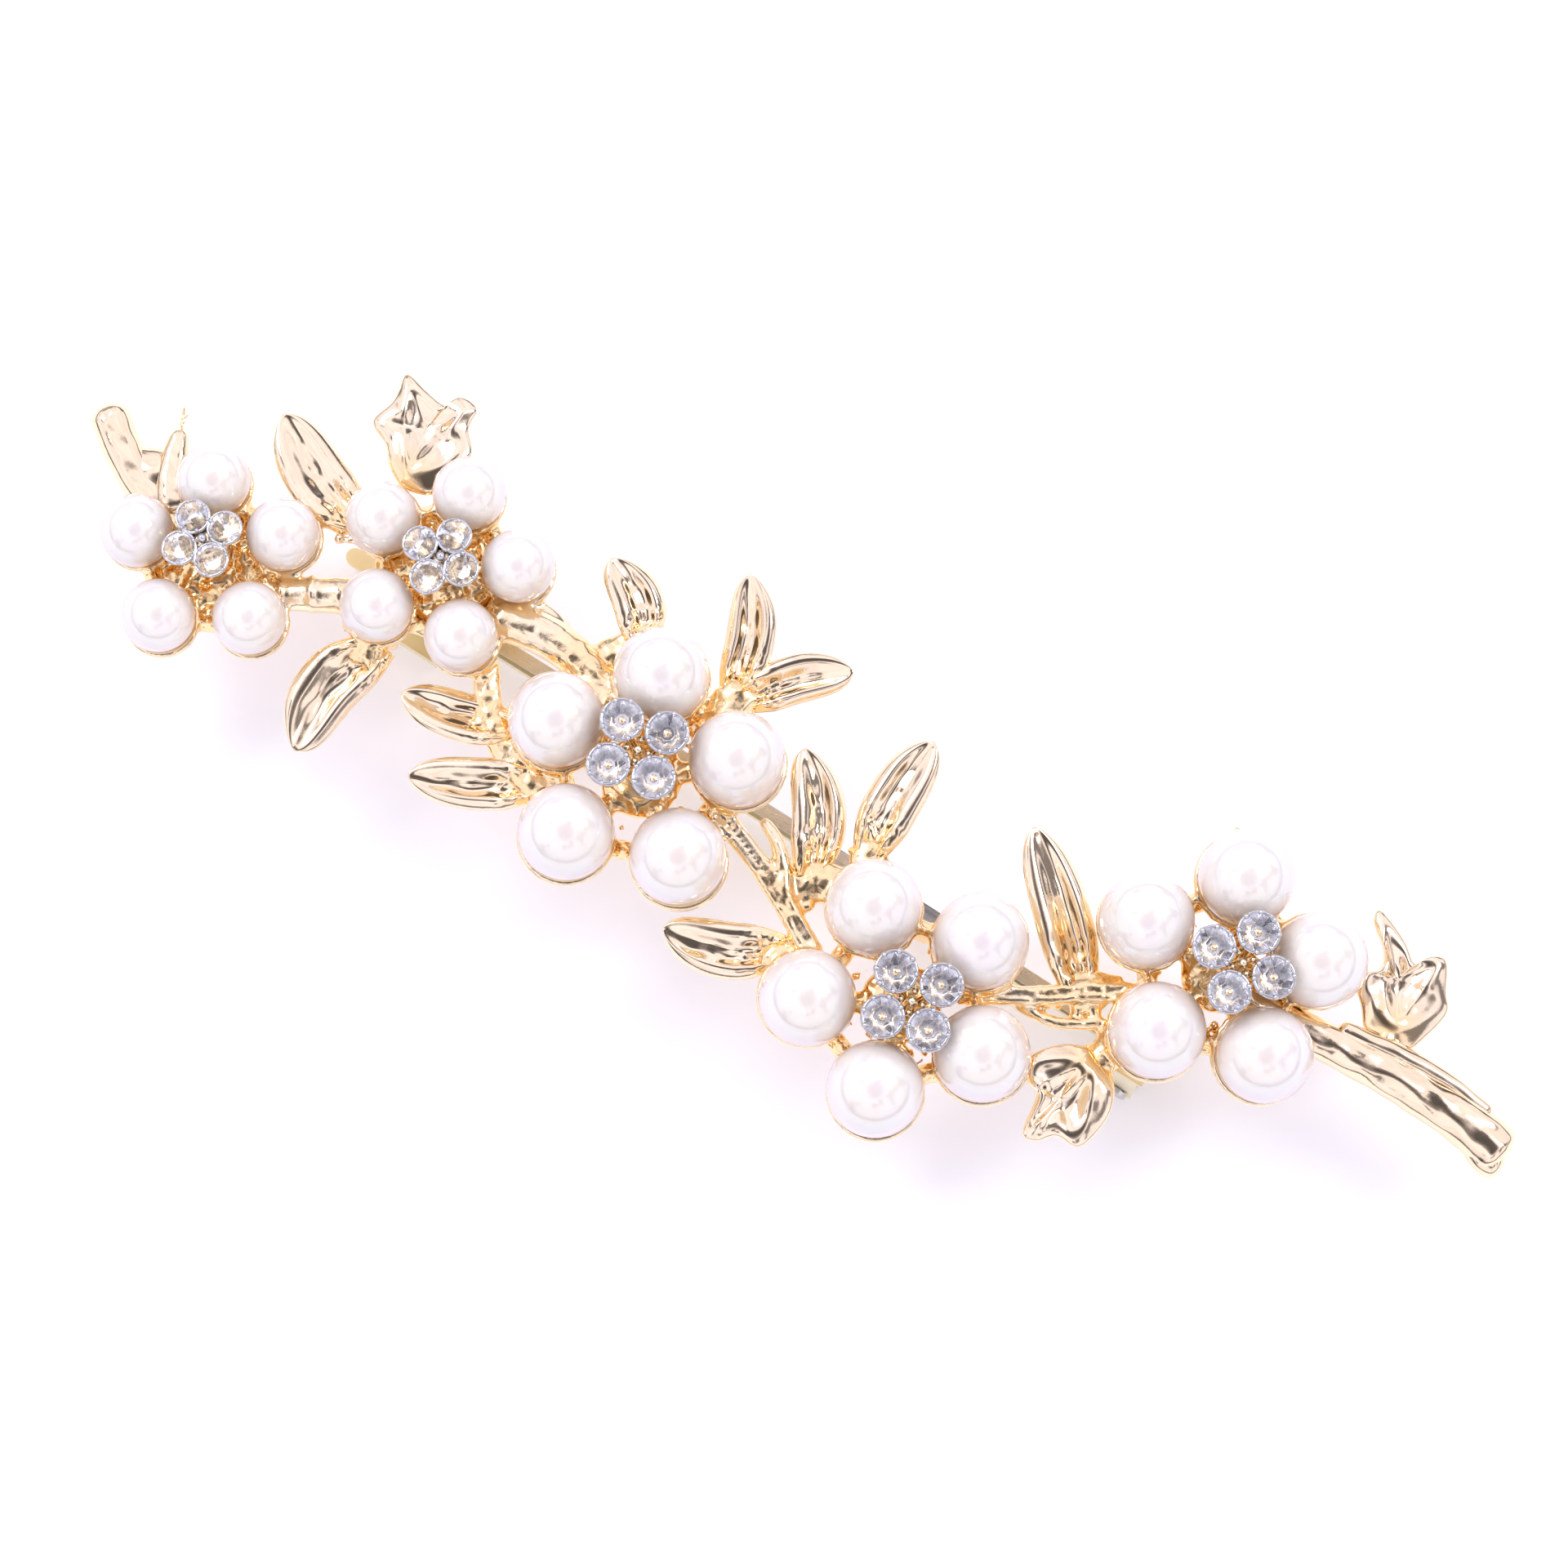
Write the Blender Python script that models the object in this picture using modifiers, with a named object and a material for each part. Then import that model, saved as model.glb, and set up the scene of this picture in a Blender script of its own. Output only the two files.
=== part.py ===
"""A pearl-flower barrette: a gold branch casting with five pearl flowers, on a slim French-type clip.

Lengths are in millimetres and angles in degrees until the last step, where MM turns them into metres. The
clip's own frame has its arm along X, its middle plane at y = 0, and its feet at z = 0. The whole object is then
shifted by CENTRE, so that the middle of its box, at the height of the feet, is the world origin.
"""

import math

import bmesh
import bpy
from mathutils import Matrix, Vector

MM = 0.001
CENTRE = (3.832, -0.239)

# The back of the casting is arched along X, highest at x = 0, and the casting sits a little to one side.
BACK_HEIGHT = 8.4
ARCH = 0.0015
CASTING_Y = -1.2

# Flowers: centre, pearl diameter, radius of the ring of pearls, angle of the first pearl, and the angle and
# offset of the four-stone setting. The small flowers are 1 and 2.
PEARLS_IN_RING = 5
STONES_IN_SETTING = 4
SMALL_PEARL = 4.0
LARGE_PEARL = 5.2
FLOWERS = [
    {"centre": (-29.7, -4.2), "pearl": SMALL_PEARL, "ring": 4.2, "turn": 48, "stones": 56, "lean": (-0.3, 0.4)},
    {"centre": (-18.8, 2.1), "pearl": SMALL_PEARL, "ring": 4.15, "turn": 30, "stones": 0, "lean": (0.15, 0.05)},
    {"centre": (-3.7, -1.7), "pearl": LARGE_PEARL, "ring": 5.2, "turn": 38, "stones": 61, "lean": (-0.35, 0.5)},
    {"centre": (14.6, -4.5), "pearl": LARGE_PEARL, "ring": 5.1, "turn": 69, "stones": 61, "lean": (0.5, -0.2)},
    {"centre": (28.1, 6.2), "pearl": LARGE_PEARL, "ring": 5.0, "turn": 38, "stones": 6, "lean": (0.4, 0.4)},
]
SEAT_GAP = 0.1
CUP_FLOOR = 0.4
CUP_FOOT = 0.75
CUP_RIM = 1.02
CUP_HEIGHT = 0.6

# Stones: diameter, radius of their ring, and the cup around each.
LARGE_STONE = {"stone": 2.0, "ring": 1.77, "foot_r": 0.8, "rim_r": 1.2, "pocket_r": 1.1, "cup_z": 4.5}
SMALL_STONE = {"stone": 1.64, "ring": 1.32, "foot_r": 0.72, "rim_r": 0.99, "pocket_r": 0.905, "cup_z": 3.3}
STONE_CUP_HEIGHT = 1.0
STONE_POCKET_FLOOR = 0.3

# Stems: points along the middle as (x, y), the radius there, and the height of the middle over the back.
STEMS = {
    "bud_stem": ([(-31.4, -3.8), (-34.0, -3.3), (-35.6, -2.4)], 0.75, 0.9),
    "lower_link": ([(-27.4, -5.4), (-24.6, -3.8), (-21.0, -1.4)], 0.95, 1.0),
    "upper_link": ([(-28.2, 0.2), (-25.6, 1.2), (-22.6, 2.0)], 0.5, 0.8),
    "second_to_third": ([(-15.6, 1.2), (-12.6, 1.9), (-9.6, 1.7), (-6.6, 0.2)], 0.95, 1.0),
    "third_to_fourth": ([(0.2, -1.0), (3.4, -2.1), (6.4, -3.5), (9.8, -5.2)], 0.65, 1.0),
    "fourth_to_fifth": ([(16.8, -2.6), (20.4, -0.4), (23.4, 1.8), (26.0, 3.2)], 0.6, 1.0),
    "tail": ([(30.0, 5.4), (33.4, 6.0), (38.5, 6.5), (43.2, 6.6), (46.4, 6.3)], 1.1, 0.9),
    "tail_twig": ([(36.2, 7.3), (39.4, 7.9), (43.2, 7.9)], 0.5, 1.3),
    "leaf_4_stalk": ([(-20.6, -2.2), (-19.6, -4.6)], 0.7, 0.9),
    "leaf_5_stalk": ([(-14.4, -0.6), (-12.0, -3.6), (-8.4, -5.2), (-6.8, -4.4)], 0.55, 0.9),
    "leaf_7_stalk": ([(-9.4, 1.8), (-8.2, 4.6), (-5.2, 4.8)], 0.6, 0.9),
    "leaf_8_stalk": ([(-1.6, 2.0), (-1.6, 5.6)], 0.8, 0.9),
    "leaf_10_stalk": ([(9.6, -6.2), (6.9, -6.0)], 0.8, 0.9),
    "leaf_11_stalk": ([(11.6, -0.6), (6.6, -1.2), (5.2, -2.9)], 0.75, 0.9),
    "leaf_12_stalk": ([(12.0, -0.4), (8.8, 2.2)], 0.9, 0.9),
    "leaf_13_stalk": ([(22.0, 0.8), (23.6, 2.2)], 0.9, 0.9),
    "leaf_14_stalk": ([(25.2, 0.6), (25.3, -2.0)], 0.7, 0.9),
    "leaf_15_stalk": ([(37.6, 6.8), (37.4, 8.8)], 0.7, 0.9),
}

# Pointed leaves: base, tip, half the width, sideways bend of the middle line, and the rise of the tip.
LEAVES = {
    "leaf_bud": ((-34.4, -2.9), (-38.9, 0.1), 0.85, 0.25, 0.6),
    "leaf_spur": ((-33.8, -2.7), (-35.3, 1.3), 0.5, 0.1, 0.5),
    "leaf_2": ((-24.2, 1.6), (-31.0, 4.7), 1.65, 0.35, 0.4),
    "leaf_4": ((-19.5, -3.2), (-20.3, -10.5), 1.7, -0.8, -0.4),
    "leaf_5": ((-10.9, -3.3), (-17.0, -4.9), 1.35, 0.2, 0.2),
    "leaf_6": ((-8.0, -5.0), (-14.3, -8.4), 1.35, 0.2, -0.3),
    "leaf_7": ((-7.4, 4.4), (-11.4, 7.4), 1.35, -0.5, 0.5),
    "leaf_8": ((-2.0, 4.8), (-4.6, 10.6), 1.3, -0.5, 0.6),
    "leaf_9": ((-1.2, 4.8), (2.9, 9.1), 1.25, 0.4, 0.5),
    "leaf_10": ((7.9, -5.6), (1.8, -8.1), 1.45, 0.5, -0.3),
    "leaf_11": ((6.9, -1.4), (3.0, 4.2), 1.4, -0.6, 0.3),
    "leaf_12": ((8.8, 1.2), (8.6, 8.2), 1.45, 0.2, 0.5),
    "leaf_13": ((22.6, 1.0), (15.6, 7.2), 1.5, -0.2, 0.5),
}

# Ivy leaves: their outline, anticlockwise, as (x, y).
IVY_LEAVES = {
    "ivy_3": [
        (-23.2, 4.4), (-21.4, 5.2), (-20.8, 8.1), (-21.9, 9.5), (-22.1, 10.8), (-23.4, 10.9), (-23.9, 10.0),
        (-25.1, 10.1), (-26.9, 10.4), (-26.6, 8.6), (-27.0, 6.9), (-25.6, 6.2), (-24.7, 5.2),
    ],
    "ivy_14": [
        (24.4, -0.8), (22.9, -1.6), (21.7, -3.2), (22.4, -4.5), (23.3, -4.9), (23.7, -7.1), (24.7, -7.1),
        (25.5, -6.2), (27.0, -6.0), (27.4, -3.4), (26.4, -1.6),
    ],
    "ivy_15": [
        (36.2, 7.5), (38.7, 7.6), (39.5, 9.3), (39.8, 11.1), (39.1, 12.0), (38.2, 13.6), (37.2, 13.3),
        (36.7, 12.4), (35.6, 13.2), (33.4, 14.0), (33.4, 13.1), (34.8, 12.0), (35.1, 11.0), (34.3, 10.2),
        (34.5, 9.4), (35.4, 8.6),
    ],
}
LEAF_LIFT = 0.35
LEAF_THICKNESS = 0.9

# Clip: solder bosses under the casting, hinge, arm, spring and latch.
BOSS_RADIUS = 1.5
BOSS_FOOT_Z = 6.9
PLATE_GAP = 0.1
PLATE_THICKNESS = 0.6
HINGE_X = 26.6
HINGE_Z = 1.15
PIN_RADIUS = 0.4
PIN_BORE = 0.5
KNUCKLE_RADIUS = 0.95
KNUCKLE_HALF_WIDTH = 1.7
EAR_INNER_Y = 1.85
EAR_THICKNESS = 0.5
EAR_HALF_LENGTH = 0.9
ARM_WIDTH = 1.0
ARM_THICKNESS = 0.8
ARM_MID_X = 5.0
ARM_MID_Z = 1.55
ARM_SAG = 0.00107
WINDOW_X = (-22.2, -17.4)
WINDOW_HALF_WIDTH = 2.6
WINDOW_HOLE_X = (-21.5, -18.1)
WINDOW_HOLE_HALF_WIDTH = 1.1
WINDOW_Z = (0.7, 1.3)
LIP_THICKNESS = 0.4
TAB_TIP_X = -25.2
LATCH_X = -19.8
PRONG_INNER_Y = 0.35
PRONG_THICKNESS = 0.35
PRONG_WIDTH = 1.6
PRONG_FOOT_Z = 0.15
BARB_REACH = 0.3
BARB_HEIGHT = 0.45
SPRING_X = (-16.6, 24.9)
SPRING_WIDTH = 0.8
SPRING_THICKNESS = 0.2
SPRING_ROOT_Z = 1.75
SPRING_MID_Z = 2.85
SPRING_TIP_Z = 2.25

GOLD = ((0.86, 0.62, 0.30, 1.0), 0.16, 1.0)
PALE_BRASS = ((0.74, 0.66, 0.42, 1.0), 0.28, 1.0)
SPRING_STEEL = ((0.70, 0.68, 0.62, 1.0), 0.30, 1.0)
PEARL_CREAM = ((0.93, 0.88, 0.87, 1.0), 0.18, 0.0)
CRYSTAL = ((0.92, 0.94, 0.97, 1.0), 0.05, 0.4)
SILVER_GILT = ((0.85, 0.76, 0.55, 1.0), 0.15, 1.0)


# ---------------------------------------------------------------------------------------------------------
# Scene, materials and small helpers


def clear_scene():
    for obj in list(bpy.data.objects):
        bpy.data.objects.remove(obj, do_unlink=True)


def new_collection(name):
    collection = bpy.data.collections.new(name)
    bpy.context.scene.collection.children.link(collection)
    return collection


def make_material(name, finish):
    colour, roughness, metallic = finish
    material = bpy.data.materials.new(name)
    material.use_nodes = True
    shader = material.node_tree.nodes["Principled BSDF"]
    shader.inputs["Base Color"].default_value = colour
    shader.inputs["Roughness"].default_value = roughness
    shader.inputs["Metallic"].default_value = metallic
    material.diffuse_color = colour
    return material


def place(name, data, material, location=(0, 0, 0), collection=None):
    """A new object in the clip's frame, its location in millimetres."""
    obj = bpy.data.objects.new(name, data)
    (collection or PARTS).objects.link(obj)
    obj.parent = ORIGIN
    obj.location = Vector(location) * MM
    if material and not data.materials:
        data.materials.append(material)
    return obj


def hide_cutter(obj):
    obj.hide_render = True
    obj.display_type = "WIRE"
    return obj


def mesh_of(curve_obj):
    """A mesh object in place of a curve object, its loose caps welded."""
    bpy.context.view_layer.update()
    graph = bpy.context.evaluated_depsgraph_get()
    mesh = bpy.data.meshes.new_from_object(curve_obj.evaluated_get(graph))
    bm = bmesh.new()
    bm.from_mesh(mesh)
    bmesh.ops.remove_doubles(bm, verts=bm.verts, dist=1e-6)
    bm.to_mesh(mesh)
    bm.free()
    return mesh


def plate_mesh(name, outlines, thickness):
    """A flat plate in XY, centred on z = 0, from one or more closed outlines. The inner ones are holes."""
    curve = bpy.data.curves.new(name, "CURVE")
    curve.dimensions = "2D"
    curve.fill_mode = "BOTH"
    curve.extrude = thickness / 2 * MM
    for outline in outlines:
        spline = curve.splines.new("POLY")
        spline.points.add(len(outline) - 1)
        spline.use_cyclic_u = True
        for point, (x, y) in zip(spline.points, outline):
            point.co = (x * MM, y * MM, 0, 1)
    obj = bpy.data.objects.new(name, curve)
    bpy.context.scene.collection.objects.link(obj)
    mesh = mesh_of(obj)
    bpy.data.objects.remove(obj)
    return mesh


def tube_mesh(name, points, radii):
    """A round bar through the points, with filled ends."""
    curve = bpy.data.curves.new(name, "CURVE")
    curve.dimensions = "3D"
    curve.bevel_depth = MM
    curve.bevel_resolution = 1
    curve.use_fill_caps = True
    spline = curve.splines.new("POLY")
    spline.points.add(len(points) - 1)
    for point, position, radius in zip(spline.points, points, radii):
        point.co = (*(Vector(position) * MM), 1)
        point.radius = radius
    obj = bpy.data.objects.new(name, curve)
    bpy.context.scene.collection.objects.link(obj)
    mesh = mesh_of(obj)
    bpy.data.objects.remove(obj)
    return mesh


def profile_mesh(name, profile):
    """A profile of (radius, height) points in the XZ plane, for turn()."""
    mesh = bpy.data.meshes.new(name)
    points = [(r * MM, 0, z * MM) for r, z in profile]
    mesh.from_pydata(points, [(i, i + 1) for i in range(len(points) - 1)], [])
    return mesh


def turn(obj, steps):
    """Turns a profile about the object's Z axis."""
    screw = obj.modifiers.new("turn", "SCREW")
    screw.axis = "Z"
    screw.steps = steps
    screw.render_steps = steps
    screw.use_merge_vertices = True
    screw.merge_threshold = 1e-5
    screw.use_smooth_shade = False
    return obj


def turned_mesh(name, profile, steps):
    """The mesh of a turned profile, with the modifier applied."""
    obj = bpy.data.objects.new(name, profile_mesh(name, profile))
    bpy.context.scene.collection.objects.link(obj)
    turn(obj, steps)
    mesh = mesh_of(obj)
    bpy.data.objects.remove(obj)
    return mesh


def box_mesh(name, size):
    bm = bmesh.new()
    bmesh.ops.create_cube(bm, size=1.0)
    bmesh.ops.scale(bm, vec=Vector(size) * MM, verts=bm.verts)
    mesh = bpy.data.meshes.new(name)
    bm.to_mesh(mesh)
    bm.free()
    return mesh


def rod_mesh(name, radius, length, sides=16):
    """A cylinder along Z, centred."""
    bm = bmesh.new()
    bmesh.ops.create_cone(
        bm, cap_ends=True, segments=sides, radius1=radius * MM, radius2=radius * MM, depth=length * MM
    )
    mesh = bpy.data.meshes.new(name)
    bm.to_mesh(mesh)
    bm.free()
    return mesh


def ball_mesh(name, radius, segments, rings):
    bm = bmesh.new()
    bmesh.ops.create_uvsphere(bm, u_segments=segments, v_segments=rings, radius=radius * MM)
    mesh = bpy.data.meshes.new(name)
    bm.to_mesh(mesh)
    bm.free()
    mesh.shade_smooth()
    return mesh


def joined(obj, bits, operation="UNION"):
    """Adds one exact Boolean, with all the bits as its other operand."""
    group = bpy.data.collections.new(obj.name + "_bits_" + operation.lower())
    CUTTERS.children.link(group)
    for bit in bits:
        for holder in list(bit.users_collection):
            holder.objects.unlink(bit)
        group.objects.link(hide_cutter(bit))
    boolean = obj.modifiers.new(operation.lower(), "BOOLEAN")
    boolean.operation = operation
    boolean.operand_type = "COLLECTION"
    boolean.collection = group
    boolean.solver = "EXACT"
    return obj


# ---------------------------------------------------------------------------------------------------------
# Places on the arched casting


def back_z(x):
    """Height of the casting's back at x."""
    return BACK_HEIGHT - ARCH * x * x


def pitch(x):
    """Rotation about Y that lays a piece along the arch at x, in radians."""
    return math.atan(2 * ARCH * x)


def on_casting(x, y, height):
    return (x, y + CASTING_Y, back_z(x) + height)


def flower_frame(flower):
    """The matrix of a flower: its origin on the casting's back, its Z out of the face."""
    x, y = flower["centre"]
    place_at = Matrix.Translation(Vector(on_casting(x, y, 0)))
    return place_at @ Matrix.Rotation(pitch(x), 4, "Y")


def ring_points(count, radius, first_angle, middle=(0, 0)):
    angles = [math.radians(first_angle + 360 * k / count) for k in range(count)]
    return [(middle[0] + radius * math.cos(a), middle[1] + radius * math.sin(a)) for a in angles]


def pearl_places(flower):
    return ring_points(PEARLS_IN_RING, flower["ring"], flower["turn"])


def stone_kind(flower):
    return SMALL_STONE if flower["pearl"] == SMALL_PEARL else LARGE_STONE


def stone_places(flower):
    return ring_points(STONES_IN_SETTING, stone_kind(flower)["ring"], flower["stones"], flower["lean"])


def put_in_frame(obj, frame, x, y, z):
    """Places an object at a point of a flower's frame, tilted with it. The frame is in millimetres."""
    where = frame @ Vector((x, y, z))
    obj.matrix_local = Matrix.Translation(where * MM) @ frame.to_3x3().to_4x4()
    return obj


# ---------------------------------------------------------------------------------------------------------
# Branch casting


def leaf_outline(base, tip, half_width, bend, steps=5):
    """The outline of a pointed leaf: broad near the base, its middle line bent to the left by bend."""
    base, tip = Vector(base), Vector(tip)
    along = tip - base
    left = Vector((-along.y, along.x)).normalized()
    sides = ([], [])
    for k in range(steps + 1):
        t = k / (steps + 1)
        middle = base + along * t + left * bend * math.sin(math.pi * t)
        width = half_width * (0.55 + 0.45 * math.sin(math.pi * min(1, t * 1.6))) * (1 - t**3)
        sides[0].append(tuple(middle - left * width))
        sides[1].append(tuple(middle + left * width))
    return sides[0] + [tuple(tip)] + sides[1][::-1]


def middle_of(outline):
    return sum((Vector(point) for point in outline), Vector((0, 0))) / len(outline)


def leaf_bit(name, outline, rise=0.0, length=1.0, along=(1, 0)):
    """One leaf as a flat plate laid along the arch, tilted so that its tip rises."""
    middle = middle_of(outline)
    local = [(x - middle.x, y - middle.y) for x, y in outline]
    bit = place(name, plate_mesh(name, [local], LEAF_THICKNESS), None)
    tilt_axis = Vector((along[1], -along[0], 0))
    tilt = Matrix.Rotation(math.atan2(rise, length), 4, tilt_axis)
    where = Vector(on_casting(middle.x, middle.y, LEAF_LIFT + LEAF_THICKNESS / 2 + rise / 2))
    bit.matrix_local = Matrix.Translation(where * MM) @ Matrix.Rotation(pitch(middle.x), 4, "Y") @ tilt
    return bit


def stem_bit(name, route, radius, height):
    """A round bar whose ends are thinner than its middle, except the cut tail."""
    points = [on_casting(x, y, height) for x, y in route]
    radii = [radius] * len(points)
    if name != "tail":
        radii[0] = radii[-1] = radius * 0.85
    return place(name, tube_mesh(name, points, radii), None)


def pearl_cup_mesh(pearl):
    """A round seat that widens upwards. The clearance ball of its pearl hollows it out later."""
    radius = pearl / 2
    bm = bmesh.new()
    bmesh.ops.create_cone(
        bm,
        cap_ends=True,
        segments=12,
        radius1=radius * CUP_FOOT * MM,
        radius2=radius * CUP_RIM * MM,
        depth=radius * CUP_HEIGHT * MM,
        matrix=Matrix.Translation((0, 0, radius * CUP_HEIGHT / 2 * MM)),
    )
    mesh = bpy.data.meshes.new("pearl_cup")
    bm.to_mesh(mesh)
    bm.free()
    return mesh


def clearance_balls():
    """One ball for each pearl, a seat gap larger than the pearl, to cut its seat out of the casting."""
    balls = []
    for number, flower in enumerate(FLOWERS, 1):
        radius = flower["pearl"] / 2
        ball = ball_mesh("clearance", radius + SEAT_GAP, 12, 8)
        for k, (x, y) in enumerate(pearl_places(flower)):
            cutter = place(f"clearance_{number}_{k}", ball, None)
            balls.append(put_in_frame(cutter, flower_frame(flower), x, y, CUP_FLOOR + SEAT_GAP + radius))
    return balls


def casting_flower(number, flower):
    """The seats, spokes and hub of one flower."""
    frame = flower_frame(flower)
    cup = pearl_cup_mesh(flower["pearl"])
    hub_radius = flower["ring"] * 0.42
    hub = place(f"hub_{number}", rod_mesh("hub", hub_radius, 0.9, 12), None)
    bits = [put_in_frame(hub, frame, 0, 0, 0.55)]
    for k, (x, y) in enumerate(pearl_places(flower)):
        bits.append(put_in_frame(place(f"cup_{number}_{k}", cup, None), frame, x, y, 0))
        spoke = place(f"spoke_{number}_{k}", box_mesh("spoke", (flower["ring"] * 0.6, 1.3, 0.6)), None)
        angle = Matrix.Rotation(math.atan2(y, x), 4, "Z")
        put_in_frame(spoke, frame @ angle, flower["ring"] * 0.5, 0, 0.47)
        bits.append(spoke)
        next_x, next_y = pearl_places(flower)[(k + 1) % PEARLS_IN_RING]
        gap = Vector((next_x - x, next_y - y))
        web = place(f"web_{number}_{k}", box_mesh("web", (gap.length * 0.5, 1.0, 0.5)), None)
        turn_web = Matrix.Translation(((x + next_x) / 2, (y + next_y) / 2, 0.43))
        turn_web = turn_web @ Matrix.Rotation(math.atan2(gap.y, gap.x), 4, "Z")
        bits.append(put_in_frame(web, frame @ turn_web, 0, 0, 0))
    return bits


def solder_boss(name, x, y, height):
    """A round pad under the casting with a level foot, where a clip bracket is soldered on."""
    boss = place(name, rod_mesh(name, BOSS_RADIUS, height, 16), None, (x, y, BOSS_FOOT_Z + height / 2))
    return boss


def build_casting():
    bits = []
    for number, flower in enumerate(FLOWERS, 1):
        bits += casting_flower(number, flower)
    for name, (route, radius, height) in STEMS.items():
        bits.append(stem_bit(name, route, radius, height))
    for name, (base, tip, half_width, bend, rise) in LEAVES.items():
        along = (Vector(tip) - Vector(base))
        outline = leaf_outline(base, tip, half_width, bend)
        bits.append(leaf_bit(name, outline, rise, along.length, tuple(along.normalized())))
    for name, outline in IVY_LEAVES.items():
        bits.append(leaf_bit(name, outline))
    bits.append(solder_boss("hinge_boss", HINGE_X, 0.2, 1.1))
    bits.append(solder_boss("latch_boss", LATCH_X, 0.3, 1.5))
    casting = place("branch_casting", bits[0].data.copy(), make_material("casting_gold", GOLD))
    casting.matrix_local = bits[0].matrix_local
    bpy.data.objects.remove(bits[0])
    joined(casting, bits[1:])
    return joined(casting, clearance_balls(), "DIFFERENCE")


# ---------------------------------------------------------------------------------------------------------
# Pearls, settings and stones


def build_pearls():
    meshes = {}
    for number, flower in enumerate(FLOWERS, 1):
        radius = flower["pearl"] / 2
        if radius not in meshes:
            meshes[radius] = ball_mesh("pearl", radius, 12, 8)
            meshes[radius].materials.append(make_material("pearl_cream", PEARL_CREAM))
        frame = flower_frame(flower)
        for k, (x, y) in enumerate(pearl_places(flower), 1):
            pearl = place(f"pearl_{number}_{k}", meshes[radius], None)
            put_in_frame(pearl, frame, x, y, CUP_FLOOR + SEAT_GAP + radius)


def stone_cup_mesh(kind):
    profile = [
        (0, STONE_POCKET_FLOOR),
        (kind["foot_r"] * 0.7, STONE_POCKET_FLOOR),
        (kind["pocket_r"], STONE_CUP_HEIGHT),
        (kind["rim_r"], STONE_CUP_HEIGHT),
        (kind["foot_r"], 0),
        (0, 0),
    ]
    return turned_mesh("stone_cup", profile, 10)


def build_setting(number, flower, material):
    """Four stone cups. A small flower's share one column; a large flower's stand on four posts and a ball."""
    kind = stone_kind(flower)
    frame = flower_frame(flower)
    lean_x, lean_y = flower["lean"]
    foot_z = 1.1
    top_z = kind["cup_z"] + 0.25
    small = kind is SMALL_STONE
    column_radius = 1.0 if small else 0.45
    column_top = kind["cup_z"] + (0.6 if small else 0.3)
    column = place(
        f"stone_setting_{number}", rod_mesh("column", column_radius, column_top - foot_z, 12), material
    )
    put_in_frame(column, frame, lean_x, lean_y, (foot_z + column_top) / 2)
    bits = []
    cup = stone_cup_mesh(kind)
    for k, (x, y) in enumerate(stone_places(flower)):
        bits.append(put_in_frame(place(f"stone_cup_{number}_{k}", cup, None), frame, x, y, kind["cup_z"]))
        if small:
            continue
        foot = (lean_x + (x - lean_x) * 0.2, lean_y + (y - lean_y) * 0.2, foot_z + 0.9)
        post = tube_mesh("post", [frame @ Vector(foot), frame @ Vector((x, y, top_z))], [0.3, 0.4])
        bits.append(place(f"post_{number}_{k}", post, None))
    return joined(column, bits)


def build_stones(number, flower, material):
    """Round stones, eight-sided: a flat table, a crown, a thin girdle and a pointed back."""
    kind = stone_kind(flower)
    frame = flower_frame(flower)
    radius = kind["stone"] / 2
    girdle = STONE_CUP_HEIGHT - 0.02
    profile = [
        (0, girdle + radius * 0.42),
        (radius * 0.55, girdle + radius * 0.42),
        (radius, girdle + 0.06),
        (radius, girdle),
        (radius * 0.2, STONE_POCKET_FLOOR + SEAT_GAP),
        (0, STONE_POCKET_FLOOR + SEAT_GAP),
    ]
    mesh = turned_mesh("stone", profile, 8)
    mesh.materials.append(material)
    for k, (x, y) in enumerate(stone_places(flower), 1):
        put_in_frame(place(f"stone_{number}_{k}", mesh, None), frame, x, y, kind["cup_z"])


# ---------------------------------------------------------------------------------------------------------
# Clip


def along_y(obj):
    """Turns a piece modelled along Z, or an XY plate, so that its Z runs along Y and its Y stays up."""
    obj.rotation_euler = (math.radians(90), 0, 0)
    return obj


def arc_points(centre, radius, start, end, steps):
    angles = [math.radians(start + (end - start) * k / steps) for k in range(steps + 1)]
    return [(centre[0] + radius * math.cos(a), centre[1] + radius * math.sin(a)) for a in angles]


def arm_middle_z(x):
    return ARM_MID_Z - ARM_SAG * (x - ARM_MID_X) ** 2


def strip_outline(start_x, end_x, middle_z, thickness, steps=14):
    """Side view of a bowed strip, as (x, z), under and over its middle line."""
    stations = [start_x + (end_x - start_x) * k / steps for k in range(steps + 1)]
    under = [(x, middle_z(x) - thickness / 2) for x in stations]
    over = [(x, middle_z(x) + thickness / 2) for x in reversed(stations)]
    return under + over


def rectangle(x_range, y_range):
    (x0, x1), (y0, y1) = x_range, y_range
    return [(x0, y0), (x1, y0), (x1, y1), (x0, y1)]


def build_hinge_bracket(material):
    """The crown plate soldered to the casting, and two ears bored for the pin, their feet level."""
    plate_top = BOSS_FOOT_Z - PLATE_GAP
    half_width = EAR_INNER_Y + EAR_THICKNESS
    size = (2 * EAR_HALF_LENGTH + 0.6, 2 * half_width, PLATE_THICKNESS)
    bracket = place("hinge_bracket", box_mesh("crown", size), material)
    bracket.location = Vector((HINGE_X, 0, plate_top - PLATE_THICKNESS / 2)) * MM
    bits = []
    ear_outline = rectangle((-EAR_HALF_LENGTH, EAR_HALF_LENGTH), (-HINGE_Z, plate_top - 0.3 - HINGE_Z))
    bore = arc_points((0, 0), PIN_BORE, 0, 360 - 22.5, 15)
    ear = plate_mesh("ear", [ear_outline, bore], EAR_THICKNESS)
    for side in (-1, 1):
        y = side * (EAR_INNER_Y + EAR_THICKNESS / 2)
        bits.append(along_y(place(f"ear_{side}", ear, None, (HINGE_X, y, HINGE_Z))))
    return joined(bracket, bits)


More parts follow.
